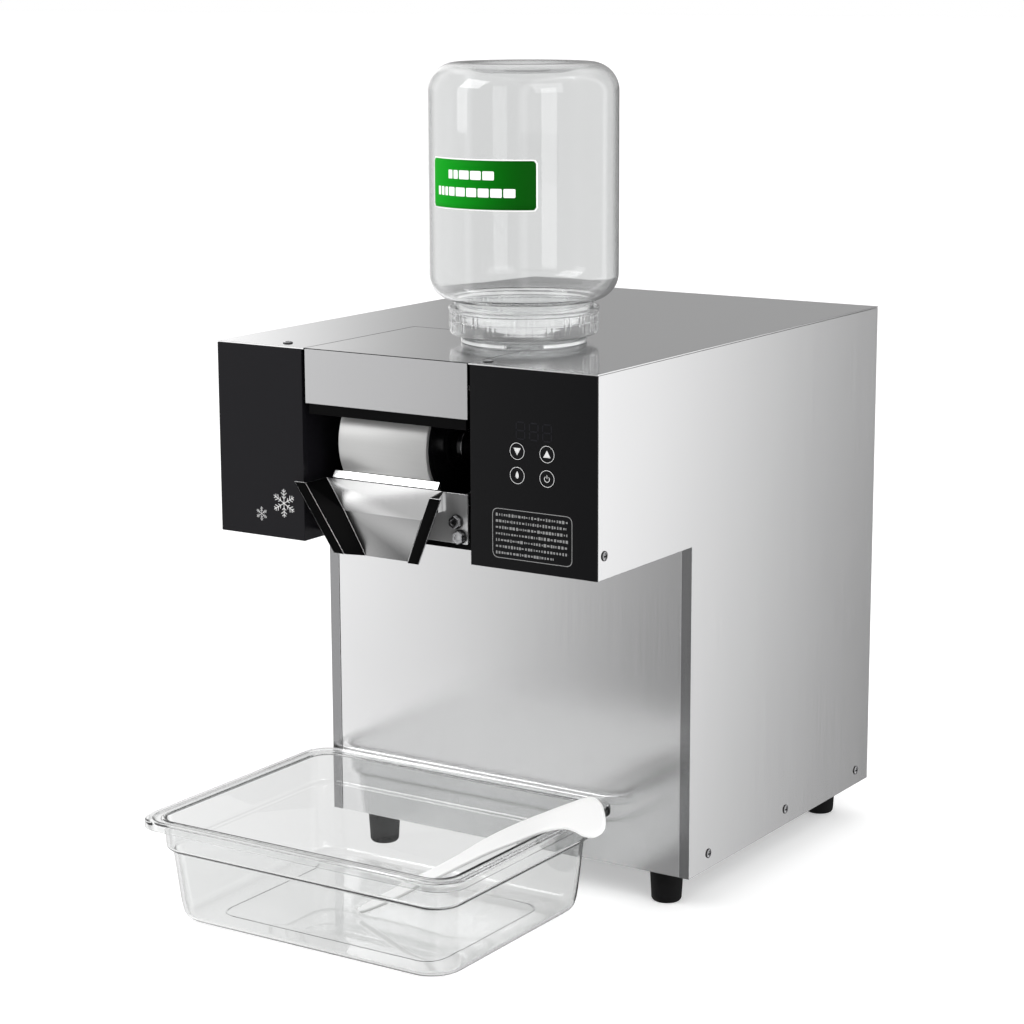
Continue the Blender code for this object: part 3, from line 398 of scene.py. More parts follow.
BOTTLE_CLEAR = clear("bottle_clear", (0.875, 0.88, 0.88), rim_shade=0.12)
CAP_CLEAR = clear("cap_clear", (0.93, 0.935, 0.935), 0.03, 0.88, 0.35)
PAN_CLEAR = clear("pan_clear", (0.89, 0.895, 0.893), 0.015, rim_shade=0.20)

# %% [markdown]
# Sheet metal is cut and folded, so none of its edges is a perfect corner. A flat CAD sheet is copied, its
# loose triangles are welded and joined into whole faces, and a Bevel gives the edge a narrow rounding in the
# last paint of its list, which on bare sheets is a painted highlight.

# %% Sheets with eased edges


def faces_of(mesh, what="center"):
    """The centre of every face, or its normal, one row each."""
    values = np.empty(len(mesh.polygons) * 3)
    mesh.polygons.foreach_get(what, values)
    return values.reshape(-1, 3)


def painted(mesh, paints, index=None):
    """Puts paints on a mesh, and says which of them each face takes."""
    mesh.materials.clear()
    for paint in paints:
        mesh.materials.append(paint)
    index = np.zeros(len(mesh.polygons)) if index is None else index
    mesh.polygons.foreach_set("material_index", index.astype(int))


def eased(node, width, paints, choose=None, segments=2):
    """A copy of a CAD piece with rounded edges; choose(centres, normals) picks a paint for each face."""
    old = frame["nodes"][node]
    mesh = old.data.copy()
    mesh.name = node + "_finished"
    shape = bmesh.new()
    shape.from_mesh(mesh)
    bmesh.ops.remove_doubles(shape, verts=shape.verts, dist=2e-6)
    bmesh.ops.dissolve_limit(shape, angle_limit=np.radians(1.0), verts=shape.verts, edges=shape.edges)
    bmesh.ops.recalc_face_normals(shape, faces=shape.faces)
    shape.to_mesh(mesh)
    shape.free()
    painted(mesh, paints, choose(faces_of(mesh) - HOME, faces_of(mesh, "normal")) if choose else None)
    piece = link(node + "_finished", mesh, 30)
    bevel = piece.modifiers.new("eased", "BEVEL")
    bevel.width = width
    bevel.segments = segments
    bevel.limit_method = "ANGLE"
    bevel.angle_limit = np.radians(35)
    bevel.harden_normals = True
    bevel.material = len(paints) - 1 if len(paints) > 1 else -1
    return stand_for(piece, node)


def stand_for(piece, *nodes, body=None, slot=None):
    """Lets a piece take a CAD node's place and its body."""
    if nodes:
        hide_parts(*nodes)
    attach(piece, body or BODY_OF[nodes[0]])
    return piece


# %% [markdown]
# The casing sheets keep their CAD shape and get eased edges. The last paint of each list goes on the
# rounding: on bare sheets it is a brighter steel, a painted highlight along the edge, and the roundings of
# the top sheet and its cover are satin black, a painted shade in the seam between the two.

# %% Casing
RECESS_Y = 0.02


def shade_in_recess(where, normal):
    """The turned-in flange beside the lower front sheet, which looks forward from far back; it takes a darker
    steel as painted shade.
    """
    return (normal[:, 1] < -0.5) & (where[:, 1] > RECESS_Y)


for side in ("side_panel_left", "side_panel_right"):
    eased(side, 0.0004, [STEEL_SIDE, FLANGE_SHADE, EDGE_HIGHLIGHT], shade_in_recess)
# The top sheet's roundings are satin black: painted shade in the seam with its cover.
eased("top_panel", 0.0006, [STEEL_TOP, SATIN_AND_SHADE])
eased("back_panel", 0.0003, [STEEL_SIDE, EDGE_HIGHLIGHT])
eased("lower_front_panel", 0.0003, [STEEL_FRONT, EDGE_HIGHLIGHT])
eased("head_floor", 0.0003, [STEEL_FRONT, EDGE_HIGHLIGHT])
# The cover's forward face takes the darker flap steel as painted shade; its roundings take the satin black as
# painted shade in the seam.
eased("drum_cover", 0.0011, [STEEL_TOP, STEEL_FLAP_SHADE, SATIN_AND_SHADE], lambda where, normal: normal[:, 1] < -0.5)
eased("left_front_cover", 0.0005, [COVER_BLACK], segments=3)
eased("control_panel", 0.0004, [FASCIA], segments=3)
# The lip is near black: partly its own black, partly painted shade under the flap.
eased("cover_lip", 0.0003, [SATIN_AND_SHADE])
print("casing done")

# %% [markdown]
# The blade is ground bright, and its bracket is plain bright sheet. The chute is one folded sheet: its back
# plate is bare, with a darker steel below its fold as painted shade, while the wings and their lips are
# black, with a painted highlight on their rounded edges. Which face is which follows from where it is and
# the way it looks.

# %% Blade, bracket and chute
BLADE_METAL = brushed("blade_bright", "X", (0.94, 0.94, 0.94), 0.26)
PLATE_STEEL = brushed("chute_plate", "Z", (0.50, 0.50, 0.50), 0.22, 0.000001)
# A darker copy of the plate steel for below the fold: painted shade on the lower plate.
PLATE_LOW_SHADE = brushed("chute_plate_low_shade", "Z", (0.36, 0.36, 0.36), 0.24, 0.000001)
FOLD_Z = 0.353
eased("blade", 0.0002, [BLADE_METAL])
eased("blade_bracket", 0.0003, [BRACKET, EDGE_HIGHLIGHT])


def chute_face(where, normal):
    """2 for the wings, which lean sideways or lie in front, 1 for the plate below its fold, which takes
    painted shade, 0 above it.
    """
    wing = (abs(normal[:, 0]) > 0.5) | (where[:, 1] < 0.012)
    return np.where(wing, 2, np.where(where[:, 2] < FOLD_Z, 1, 0))


eased("chute", 0.0002, [PLATE_STEEL, PLATE_LOW_SHADE, WING, EDGE_HIGHLIGHT], chute_face)
print("blade and chute done")

# %% [markdown]
# A hexagon flange bolt is a disc with a hexagon on it. Its radius at angle a is the hexagon's half width
# over cos(a folded into one sixth), and the same formula draws a round flange when it is switched off.

# %% Bolts and screws
HEX_HALF = 0.0049


def hexagon(radius, height, angle):
    """Rows with a negative radius are hexagons of that size, and the others stay round."""
    fold = (angle % (np.pi / 3)) - np.pi / 6
    return np.where(radius < 0, -radius / np.cos(fold), radius)


for bolt in ("bracket_bolt_upper", "bracket_bolt_lower"):
    low, high = (np.array(corner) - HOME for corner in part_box(bolt))
    face = low[1]
    seat = face + 0.0052
    profile = [(0, seat), (0.0060, seat), (0.0060, seat - 0.0008), (0.0052, seat - 0.0012)]
    profile += [(-HEX_HALF, seat - 0.0013), (-HEX_HALF, face + 0.0005), (0.0005 - HEX_HALF, face)]
    profile += [(0.0028, face), (0.0025, face + 0.0004), (0, face + 0.0005)]
    middle = ((low[0] + high[0]) / 2, 0, (low[2] + high[2]) / 2)
    piece = turned(bolt + "_head", profile, middle, "Y", 72, ripple=hexagon, flat=40)
    depth = faces_of(piece.data)[:, 1] - HOME[1] - face
    # The flange behind the hexagon takes the near-black seam metal, a painted shade under the head.
    painted(piece.data, (BOLT, SEAM_SHADE), depth > 0.0036)
    stand_for(piece, bolt)


SCREW_RADIUS = 0.0042
ARM_LENGTH = 0.0026
ARM_HALF_WIDTH = 0.0007


def screw_head(name, centre, axis, sign):
    """A dome, H sqrt(1 - (r/R)^2), less a cross whose arms are narrow one way and long the other."""
    radius = np.linspace(0, SCREW_RADIUS, 24)[:, None]
    angle = np.linspace(0, 2 * np.pi, 64, endpoint=False)[None, :]
    x, y = radius * np.cos(angle), radius * np.sin(angle)
    dome = 0.0003 + 0.0012 * np.sqrt(np.clip(1 - (radius / SCREW_RADIUS) ** 2, 0, 1)) + 0 * angle

    def arm(along, over):
        reach = np.clip((ARM_LENGTH - abs(along)) / 0.0003, 0, 1)
        return reach * np.clip((ARM_HALF_WIDTH - abs(over)) / 0.0002, 0, 1)

    height = dome - 0.0009 * np.maximum(arm(x, y), arm(y, x))
    base = np.stack([x[-1:], y[-1:], 0 * x[-1:]], axis=-1)
    pole = np.zeros_like(base)
    grid = np.concatenate([np.stack([x, y, height], axis=-1), base, pole]) * (1, 1, sign)
    piece = surface(name + "_head", grid[..., AXES[axis]] + np.array(centre), True, flat=50)
    away = abs(np.delete(faces_of(piece.data) - HOME - centre, "XYZ".index(axis), axis=1))
    # The cross recess and the outer rim take the near-black seam metal: painted shade in the recess and round
    # the head.
    cross = (away.min(axis=1) < ARM_HALF_WIDTH) & (away.max(axis=1) < ARM_LENGTH)
    rim_shade = np.hypot(*away.T) > SCREW_RADIUS * 0.93
    painted(piece.data, (BOLT, SEAM_SHADE), cross | rim_shade)
    return stand_for(piece, name)


for number in range(1, 5):
    low, high = (np.array(corner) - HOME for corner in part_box(f"side_screw_{number}"))
    screw_head(f"side_screw_{number}", (BODY_HALF + 0.0001, *((low + high) / 2)[1:]), "X", 1)
TOP_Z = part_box("top_panel")[1].z
for side in ("left", "right"):
    low, high = (np.array(corner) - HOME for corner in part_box(f"top_screw_{side}"))
    screw_head(f"top_screw_{side}", (*((low + high) / 2)[:2], TOP_Z + 0.0001), "Z", 1)
print("fasteners done, top at", round(TOP_Z, 4))

# %% [markdown]
# The drum is the heart of the machine: a satin metal tube between two black discs on a dark shaft. Its shell
# is one closed ring of a profile with softly rounded ends, turned with enough sides to look truly round.

# %% Drum
DRUM = (0.0, 0.066, 0.410)
DRUM_RADIUS = 0.050


def ring_profile(inner, outer, start, end, ease=0.0006):
    """A closed rectangle of radius and height with rounded corners."""
    corners = [(outer, start), (outer, end), (inner, end), (inner, start)]
    return softened(corners, ease, 5, loop=True)


def ring(node, axis, place, size, paint, ease=0.0006, sides=96):
    """A turned ring that stands for a CAD ring."""
    made = turned(node + "_turned", ring_profile(*size, ease), place, axis, sides, closed=True)
    made.data.materials.append(paint)
    return stand_for(made, node)


ring("drum_shell", "X", DRUM, (0.046, DRUM_RADIUS, -0.075, 0.015), DRUM_METAL, 0.0008, 160)
ring("drum_end_left", "X", DRUM, (0.0113, 0.0457, -0.0745, -0.0685), SATIN_AND_SHADE)
ring("shaft_collar", "X", DRUM, (0.0113, 0.0145, 0.021, 0.026), BRIGHT)
steps = [(0.0113, 0.0145), (0.0190, 0.0145), (0.0200, 0.0138), (0.0400, 0.0138), (0.0415, 0.0145)]
steps += [(0.0457, 0.0145), (0.0457, 0.0085), (0.0113, 0.0085)]
disc = turned("drum_end_right_turned", softened(steps, 0.0004, 3, loop=True), DRUM, "X", 96, closed=True)
disc.data.materials.append(FASCIA)
stand_for(disc, "drum_end_right")
bar = [(0, -0.116), (0.0110, -0.116), (0.0110, 0.104), (0, 0.104)]
shaft = turned("drum_shaft_turned", softened(bar, [0, 0.0008, 0.0008, 0], 4), DRUM, "X", 64)
shaft.data.materials.append(SATIN_AND_SHADE)
stand_for(shaft, "drum_shaft")

# %% [markdown]
# The feet are soft rubber: a flanged top, a taper and a rounded sole.

# %% Feet
for foot in ("foot_front_left", "foot_front_right", "foot_back_left", "foot_back_right"):
    low, high = (np.array(corner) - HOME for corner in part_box(foot))
    sole = [(0, high[2]), (0.0156, high[2]), (0.0156, high[2] - 0.0035), (0.0148, high[2] - 0.0045)]
    sole += [(0.0133, 0.0022), (0.0118, 0), (0.0070, 0), (0.0060, 0.0012), (0, 0.0012)]
    sole = softened(sole, 0.0009, 4)
    piece = turned(foot + "_moulded", sole, (*((low + high) / 2)[:2], 0), "Z", 64)
    piece.data.materials.append(RUBBER)
    stand_for(piece, foot)
print("feet done")

# %% [markdown]
# The bottle is blown clear plastic standing on its mouth. Its outer profile starts at the middle of the
# base, which is pushed in, runs over the foot ring and down the side to the mouth, and comes back up
# inside, one wall's thickness in. Turned, that makes one closed shell.

# %% Bottle
BOTTLE = (0.0370, 0.1317, 0.0)
BOTTLE_TOP = 0.725
BOTTLE_RADIUS = 0.080
WALL = 0.0018
TOP_BEND = 0.024
SHOULDER_BEND = 0.022
SHOULDER_Z = 0.527
NECK_RADIUS = 0.0590
NECK_BOTTOM = 0.4990


def shell(outer, wall):
    """The outer route, then the same route shifted inwards by the wall along its normal, walked back."""
    inner = thickened(outer, wall)
    inner[:, 0] = np.maximum(inner[:, 0], 0)
    inner[0, 0] = 0
    return np.concatenate([outer, inner[::-1]])


def quarter(centre, radius, first, last, steps):
    """Points of a circle, centre + radius (cos a, sin a), from one angle to another in degrees."""
    angle = np.radians(np.linspace(first, last, steps))
    return np.array(centre) + radius * np.column_stack([np.cos(angle), np.sin(angle)])


base = [(0, BOTTLE_TOP - 0.0065), (0.034, BOTTLE_TOP - 0.0060), (0.047, BOTTLE_TOP - 0.0020)]
base = softened(base, [0, 0.006, 0], 6)
foot_ring = quarter((BOTTLE_RADIUS - TOP_BEND, BOTTLE_TOP - TOP_BEND), TOP_BEND, 90, 0, 20)
shoulder = quarter((BOTTLE_RADIUS - SHOULDER_BEND, SHOULDER_Z + SHOULDER_BEND), SHOULDER_BEND, 0, -84, 18)
neck = [(NECK_RADIUS, 0.5255), (NECK_RADIUS, NECK_BOTTOM)]
outline = distinct(np.concatenate([base, foot_ring, shoulder, neck]))
bottle = turned("bottle_shell", shell(outline, WALL), BOTTLE, "Z", 128)
bottle.data.materials.append(BOTTLE_CLEAR)
stand_for(bottle, "water_bottle")
print("bottle vertices", len(bottle.data.vertices))

# %% [markdown]
# The cap is a clear screw cap. Pairs of narrow ribs for the fingers stand round its skirt: in each sector
# the radius grows by two bell curves of the angle. Two rounded beads run round the inside like the turns of
# its thread.

# %% Cap and seat
RIBS = 24


def ribbed(radius, height, angle):
    """r + 0.6 mm exp(-(d/w)^2) at two places d = +-2.2 degrees in each of 24 sectors of the outer rows."""
    fold = (angle % (2 * np.pi / RIBS)) - np.pi / RIBS
    pulse = np.exp(-(((abs(fold) - np.radians(2.2)) / np.radians(0.75)) ** 2))
    band = np.clip((height - 0.5020) / 0.001, 0, 1) * np.clip((0.5185 - height) / 0.001, 0, 1)
    return radius + 0.0006 * pulse * band * (radius > 0.0627)


skirt = [(0.0080, 0.4956), (0.0530, 0.4956), (0.0620, 0.4990), (0.0630, 0.5005), (0.0630, 0.5020)]
skirt += [(0.0630, 0.5035), (0.0630, 0.5100), (0.0630, 0.5170), (0.0630, 0.5185), (0.0640, 0.5190)]
skirt += [(0.0640, 0.5212), (0.0610, 0.5215), (0.0605, 0.5180), (0.0596, 0.5165), (0.0605, 0.5150)]
skirt += [(0.0605, 0.5110), (0.0596, 0.5095), (0.0605, 0.5080), (0.0605, 0.4995), (0.0080, 0.4975)]
cap = turned("bottle_cap_moulded", softened(skirt, 0.0005, 3, loop=True), BOTTLE, "Z", 720, True, ribbed)
cap.data.materials.append(CAP_CLEAR)
stand_for(cap, "bottle_cap")
seat = [(0.0534, 0.4912), (0.0534, 0.4945), (0.0525, 0.4950), (0.0480, 0.4950), (0.0474, 0.4930)]
seat += [(0.0115, 0.4930), (0.0115, 0.4660), (0.0135, 0.4660), (0.0135, 0.4912)]
collar = turned("bottle_seat_moulded", softened(seat, 0.0006, 4, loop=True), BOTTLE, "Z", 128, True)
collar.data.materials.append(CAP_CLEAR)
stand_for(collar, "bottle_seat")
print("cap vertices", len(cap.data.vertices))

# %% [markdown]
# The label is a thin film that follows the bottle. Rows and columns are height and angle. Its corners are
# rounded by shortening the height near both ends: h(d) = H - (c - sqrt(c^2 - d^2)), where d is how far a
# column reaches into the corner. The words of the real one are left out, and plain bars stand in their place.

# %% Label
LABEL_MIDDLE = np.radians(-86.5)


def film(name, radius, angle, half_angle, z, half_z, corner, paint):
    """A patch of a cylinder round the bottle's axis, with rounded corners."""
    u = np.linspace(-1, 1, 61)[None, :]
    v = np.linspace(-1, 1, 9)[:, None]
    half_width = half_angle * radius
    depth = np.clip(abs(u) * half_width - (half_width - corner), 0, corner)
    tall = half_z - (corner - np.sqrt(np.maximum(corner**2 - depth**2, 0)))
    turn = angle + u * half_angle + 0 * v
    spread = np.stack([radius * np.cos(turn), radius * np.sin(turn), z + v * tall], axis=-1)
    piece = surface(name, spread + np.array(BOTTLE))
    piece.data.materials.append(paint)
    film_wall = piece.modifiers.new("thickness", "SOLIDIFY")
    film_wall.thickness = 0.00004
    return stand_for(piece, body="bottle", slot="white_plastic")


def label_green_shaded():
    """Green that darkens from left to right: a painted shade across the label."""
    paint = Paint("label_green_shaded", Specular_IOR_Level=0.05)
    across = paint.place("X").ramp(-0.02, 0.095)
    paint.feed(Base_Color=paint.blend(across, (0.0006, 0.36, 0.010), (0.0004, 0.070, 0.001)))
    grain = paint.noise(600)
    return paint.feed(Roughness=0.45 + grain * 0.1).bump(grain, 0.00001, 0.2).holder


film("label_border", 0.08015, LABEL_MIDDLE, np.radians(37.6), 0.6285, 0.0210, 0.003, LABEL_WHITE)
film("label_face", 0.08025, LABEL_MIDDLE, np.radians(36.7), 0.6285, 0.0199, 0.0024, label_green_shaded())
ROWS = (
    (0.6362, -107.0, (1.7, 1.7, 3.6, 3.6, 3.6)),
    (0.6222, -117.5, (1.3, 1.3, 1.3, 2.4, 3.5, 3.5, 3.5, 3.5, 3.5)),
)
count = 0
for z, start, halves in ROWS:
    for half in halves:
        turn = np.radians(start + half)
        film(f"label_bar_{count}", 0.08033, turn, np.radians(half), z, 0.0036, 0.0008, LABEL_WHITE)
        start += 2 * half + 1.0
        count += 1
print("label done")

# %% [markdown]
# The pan is a clear food pan. Each station of its profile is a rectangle with round corners: an inset from
# the outside, a height and a corner radius. The profile is made a closed wall before it is carried round,
# and the floor's rows shrink towards the middle, where they meet.

# %% Pan
PAN = (-0.041, 0.020, 0.0)
PAN_HALF = (0.1635, 0.1325)
PAN_HEIGHT = 0.092
PAN_WALL = 0.0022


def rounded_rows(inset, height, corner, shrink, bend=14):
    """x = s(hx - i - r) + r cos a, y alike, at each of four corners, all times the row's shrink."""
    angle = np.linspace(0, np.pi / 2, bend)
    turn = (angle[None, :] + np.arange(4)[:, None] * np.pi / 2).reshape(-1)
    side_x = np.repeat([1, -1, -1, 1], bend)
    side_y = np.repeat([1, 1, -1, -1], bend)
    inset, height, corner, shrink = (np.asarray(value)[:, None] for value in (inset, height, corner, shrink))
    x = side_x * (PAN_HALF[0] - inset - corner) + corner * np.cos(turn)
    y = side_y * (PAN_HALF[1] - inset - corner) + corner * np.sin(turn)
    return np.stack([x * shrink, y * shrink, height + 0 * turn], axis=-1)


TOP = PAN_HEIGHT
LAST_INSET = 0.0600
LAST_CORNER = 0.014
stations = [(0.0000, TOP - 0.0070), (0.0000, TOP), (0.0065, TOP), (0.0075, TOP - 0.0015)]
stations += [(0.0115, TOP - 0.0015), (0.0125, TOP), (0.0150, TOP - 0.0010), (0.0152, TOP - 0.0045)]
stations += [(0.0160, TOP - 0.0265), (0.0190, TOP - 0.0285), (0.0225, 0.0130), (0.0250, 0.0022)]
stations += [(0.0370, PAN_WALL), (0.0500, PAN_WALL)]
stations += [(0.0504, PAN_WALL + 0.0003), (LAST_INSET, PAN_WALL + 0.0003)]
reach = [0, 0.003, 0.001, 0.0008, 0.0008, 0.0012, 0.0012, 0.002]
reach += [0.0020, 0.0020, 0.006, 0.009, 0.001, 0.0001, 0.0001, 0]
top_side = distinct(softened(stations, reach, 6))
under_side = thickened(top_side, PAN_WALL)
under_side[:, 1] = np.maximum(under_side[:, 1], 0.0)


def corner_of(side):
    """The corner radius at each station: it follows the wall, and grows towards the floor."""
    inset = [-0.003, 0.0, 0.012, 0.016, 0.0225, 0.030, LAST_INSET]
    return np.interp(side[:, 0], inset, [0.027, 0.025, 0.019, 0.020, 0.026, 0.024, LAST_CORNER])


whole = np.ones(len(top_side))
top_rows = rounded_rows(*top_side.T, corner_of(top_side), whole)
under_rows = rounded_rows(*under_side.T, corner_of(top_side) + PAN_WALL * 0.6, whole)
last = [LAST_INSET] * 2
floor_top = rounded_rows(last, [top_side[-1, 1]] * 2, [LAST_CORNER] * 2, [0.5, 0.0])
floor_under = rounded_rows(last, [under_side[-1, 1]] * 2, [LAST_CORNER] * 2, [0.0, 0.5])
pan_grid = np.concatenate([under_rows[:1], top_rows, floor_top, floor_under, under_rows[::-1]])
pan = surface("pan_moulded", pan_grid + np.array(PAN), True, flat=25)
pan.data.materials.append(PAN_CLEAR)
stand_for(pan, "catch_pan")
print("pan vertices", len(pan.data.vertices))

# %% [markdown]
# The scoop is one moulding: a flat scraper that widens into a grip and ends in a hook. Two flowing lines are
# its edges. Each cross-section between them is a flat rounded bar, |u|^n + |v|^n = 1 with n near 5, and the
# first and last close to a point.

# %% Scoop
TIP = np.array([-0.0446, -0.0018, 0.0055])
END = np.array([0.1575, 0.0580, 0.1290])
ROLL = np.radians(33)
THICK = 0.0042
SQUARE = 0.4
along = (END - TIP) / np.linalg.norm(END - TIP)
level = np.cross([0, 0, 1], along)
level /= np.linalg.norm(level)
across = level * np.cos(ROLL) + np.cross(along, level) * np.sin(ROLL)
out = np.cross(along, across)
lower = [(0, -0.2), (1, -1.8), (10, -4.0), (40, -6.1), (95, -6.1), (130, -6.3), (162, -9.6), (190, -12.9)]
lower += [(208, -19.4), (219, -29), (227, -38.5), (237, -45.0), (246.2, -43.6)]
upper = [(0, 0.2), (0.5, 2.2), (10, 4.5), (40, 6.1), (95, 7.3), (130, 11.1), (160, 11.0), (190, 7.9)]
upper += [(222, 3.5), (238, -0.7), (246.5, -12), (249.2, -30), (247.6, -42.2)]
low_edge, high_edge = flowing(lower, 8) / 1000, flowing(upper, 8) / 1000
middle, half = (low_edge + high_edge) / 2, (high_edge - low_edge) / 2
turn = np.linspace(0, 2 * np.pi, 40, endpoint=False)
round_u, round_v = (np.sign(wave) * abs(wave) ** SQUARE for wave in (np.cos(turn), np.sin(turn)))
flat_u = middle[:, None] + half[:, None] * round_u[None, :, None]
ends = np.minimum(np.arange(len(middle)), np.arange(len(middle))[::-1]) / 3.0
swell = np.sqrt(np.clip(1 - (1 - np.clip(ends, 0, 1)) ** 2, 0.02, 1))
lift = THICK / 2 + THICK / 2 * round_v[None, :] * swell[:, None]
body = TIP + flat_u[..., :1] * along + flat_u[..., 1:] * across + lift[..., None] * out
first = np.repeat(body[:1].mean(axis=1, keepdims=True), len(turn), axis=1)
last = np.repeat(body[-1:].mean(axis=1, keepdims=True), len(turn), axis=1)
scoop = surface("scoop_moulded", np.concatenate([first, body, last]), True)
scoop.data.materials.append(WHITE)
stand_for(scoop, "scoop")
print("scoop vertices", len(scoop.data.vertices))

# %% [markdown]
# Prints on the black panel are thin flat shapes a hair proud of it. A band lies between two outlines, and a
# slab fills one outline whose middle can see all of it. Both are closed solids 0.06 mm thick. The lettering
# of the real panel is left out: plain bars, a drop and a power sign stand in its place.

# %% Prints
INK = 0.00006


def circle(x, z, radius, count=64, start=0.0, spread=2 * np.pi):
    """Points round a circle, or round part of it."""
    turn = start + np.arange(count) * spread / count
    return np.stack([x + radius * np.cos(turn), z + radius * np.sin(turn)], axis=1)


def level_rows(outlines, depths, front):
    """Outlines in the panel's plane, each its own step out of the front."""
    rows = [np.stack([o[:, 0], front - d + 0 * o[:, 0], o[:, 1]], axis=1) for o, d in zip(outlines, depths)]
    return np.stack(rows)


def band(name, outer, inner, body="cabinet", paint=PRINT, front=0.0, slot="white_plastic"):
    """A flat ring between two outlines with the same number of points."""
    grid = level_rows([outer, inner, inner, outer], [INK, INK, -INK, -INK], front)
    piece = surface(name, grid, True, True)
    piece.data.materials.append(paint)
    return stand_for(piece, body=body, slot=slot)


def slab(name, outline, body="cabinet", paint=PRINT, front=0.0, slot="white_plastic"):
    """A flat filled outline."""
    centre = np.repeat(outline.mean(axis=0, keepdims=True), len(outline), axis=0)
    grid = level_rows([centre, outline, outline, centre], [INK, INK, -INK, -INK], front)
    piece = surface(name, grid, True)
    piece.data.materials.append(paint)
    return stand_for(piece, body=body, slot=slot)


def bars(name, middles, sizes, turns, paint=PRINT, front=0.0, slot="white_plastic"):
    """Many straight bars as one mesh: each is a box, turned by its own angle in the panel's plane."""
    middles, sizes, turns = (np.asarray(value, float) for value in (middles, sizes, turns))
    signs = np.array([(x, y, z) for x in (-1, 1) for y in (-1, 1) for z in (-1, 1)], float)
    deep = INK * (1 + 0.15 * (np.arange(len(middles)) % 7))
    x, z = signs[:, 0] * sizes[:, :1] / 2, signs[:, 2] * sizes[:, 1:] / 2
    cos, sin = np.cos(turns)[:, None], np.sin(turns)[:, None]
    spot_x, spot_z = middles[:, :1] + x * cos - z * sin, middles[:, 1:] + x * sin + z * cos
    spots = np.stack([spot_x, front - signs[:, 1] * deep[:, None], spot_z], axis=-1)
    faces = np.array([(0, 1, 3, 2), (4, 6, 7, 5), (0, 4, 5, 1), (2, 3, 7, 6), (0, 2, 6, 4), (1, 5, 7, 3)])
    every = (faces[None] + 8 * np.arange(len(middles))[:, None, None]).reshape(-1, 4)
    mesh = bpy.data.meshes.new(name)
    mesh.from_pydata((spots.reshape(-1, 3) + HOME).tolist(), [], every.tolist())
    piece = link(name, merged(mesh, 1e-7), 30)
    piece.data.materials.append(paint)
    return stand_for(piece, body="cabinet", slot=slot)


LEFT_X, RIGHT_X, UPPER_Z, LOWER_Z = 0.1151, 0.1433, 0.4235, 0.4038
KEYS = {"key_down": (LEFT_X, UPPER_Z), "key_up": (RIGHT_X, UPPER_Z)}
KEYS |= {"key_left": (LEFT_X, LOWER_Z), "key_right": (RIGHT_X, LOWER_Z)}
for key, (x, z) in KEYS.items():
    profile = [(0, 0.0060), (0.003, 0.0060), (0.003, 0.0026), (0.0086, 0.0026), (0.0086, 0.0018)]
    profile += [(0.0073, 0.0018), (0.0073, 0.0000), (0.0066, 0.0000), (0, 0.0000)]
    profile = softened(profile, [0, 0.0003, 0.0003, 0.0003, 0.0003, 0, 0.0003, 0, 0], 3)
    cap = turned(key + "_cap", profile, (x, 0, z), "Y", 96, flat=50)
    cap.data.materials.append(FASCIA)
    stand_for(cap, key)
    band(key + "_ring", circle(x, z, 0.0069, 96), circle(x, z, 0.0065, 96), key)
for key, way in (("key_down", -1), ("key_up", 1)):
    x, z = KEYS[key]
    point = np.array([(0, 0.0033), (-0.0035, -0.0027), (0.0035, -0.0027)]) * (1, way)
    slab(key + "_arrow", softened(point + (x, z), 0.0004, 4, loop=True), key)
x, z = KEYS["key_left"]
turn = np.linspace(0, 2 * np.pi, 48, endpoint=False)
drop = [x + 0.0019 * np.sin(turn) * np.sin(turn / 2) ** 0.9, z + 0.0006 + 0.0030 * np.cos(turn)]
slab("key_left_drop", np.stack(drop, axis=1), "key_left")
x, z = KEYS["key_right"]
opening = np.radians(35)
part_turn = (40, np.pi / 2 + opening, 2 * np.pi - 2 * opening)
outer, inner = circle(x, z - 0.0003, 0.0026, *part_turn), circle(x, z - 0.0003, 0.0021, *part_turn)
arc_rows = level_rows([outer, inner, inner, outer], [INK, INK, -INK, -INK], 0.0)
tips = [np.repeat(tip.mean(axis=0, keepdims=True), 4, axis=0) for tip in (arc_rows[:, :1], arc_rows[:, -1:])]
power = surface("key_right_power", np.concatenate([tips[0], arc_rows, tips[1]], axis=1), closed=True)
power.data.materials.append(PRINT)
stand_for(power, body="key_right", slot="white_plastic")
line = np.array([(-0.00025, 0.0001), (0.00025, 0.0001), (0.00025, 0.0030), (-0.00025, 0.0030)]) + (x, z)
slab("key_right_line", line, "key_right")
print("keys done")

# %% [markdown]
# The panel of small print is a rounded frame around seven rows of plain bars of uneven length. The numbers
# of the display are off: seven dark strokes per digit only just show through the film.

# %% Frame, rows and display
FRAME_LINE = 0.0006
ROW_STEP = 0.0052
DIGIT_STEP = 0.0125
low, high = np.array([0.0910, 0.3345]), np.array([0.1670, 0.3755])
box_corners = np.array([(low[0], low[1]), (high[0], low[1]), (high[0], high[1]), (low[0], high[1])])
shrunk = (box_corners - (low + high) / 2) * (1 - 2 * FRAME_LINE / (high - low)) + (low + high) / 2
outer, inner = softened(box_corners, 0.006, 9, loop=True), softened(shrunk, 0.0056, 9, loop=True)
band("panel_frame", outer, inner, paint=PRINT_GREY)
rng = np.random.default_rng(7)
middles, sizes = [], []
for row in range(7):
    cursor, limit = 0.0945, 0.1635 if row < 6 else 0.1500
    while cursor < limit - 0.001:
        length = min(rng.uniform(0.0007, 0.0024), limit - cursor)
        middles.append((cursor + length / 2, 0.3702 - row * ROW_STEP))
        sizes.append((length, rng.uniform(0.0012, 0.0026)))
        cursor += length + rng.uniform(0.0007, 0.0015)
bars("panel_rows", middles, sizes, np.zeros(len(sizes)), PRINT_GREY)
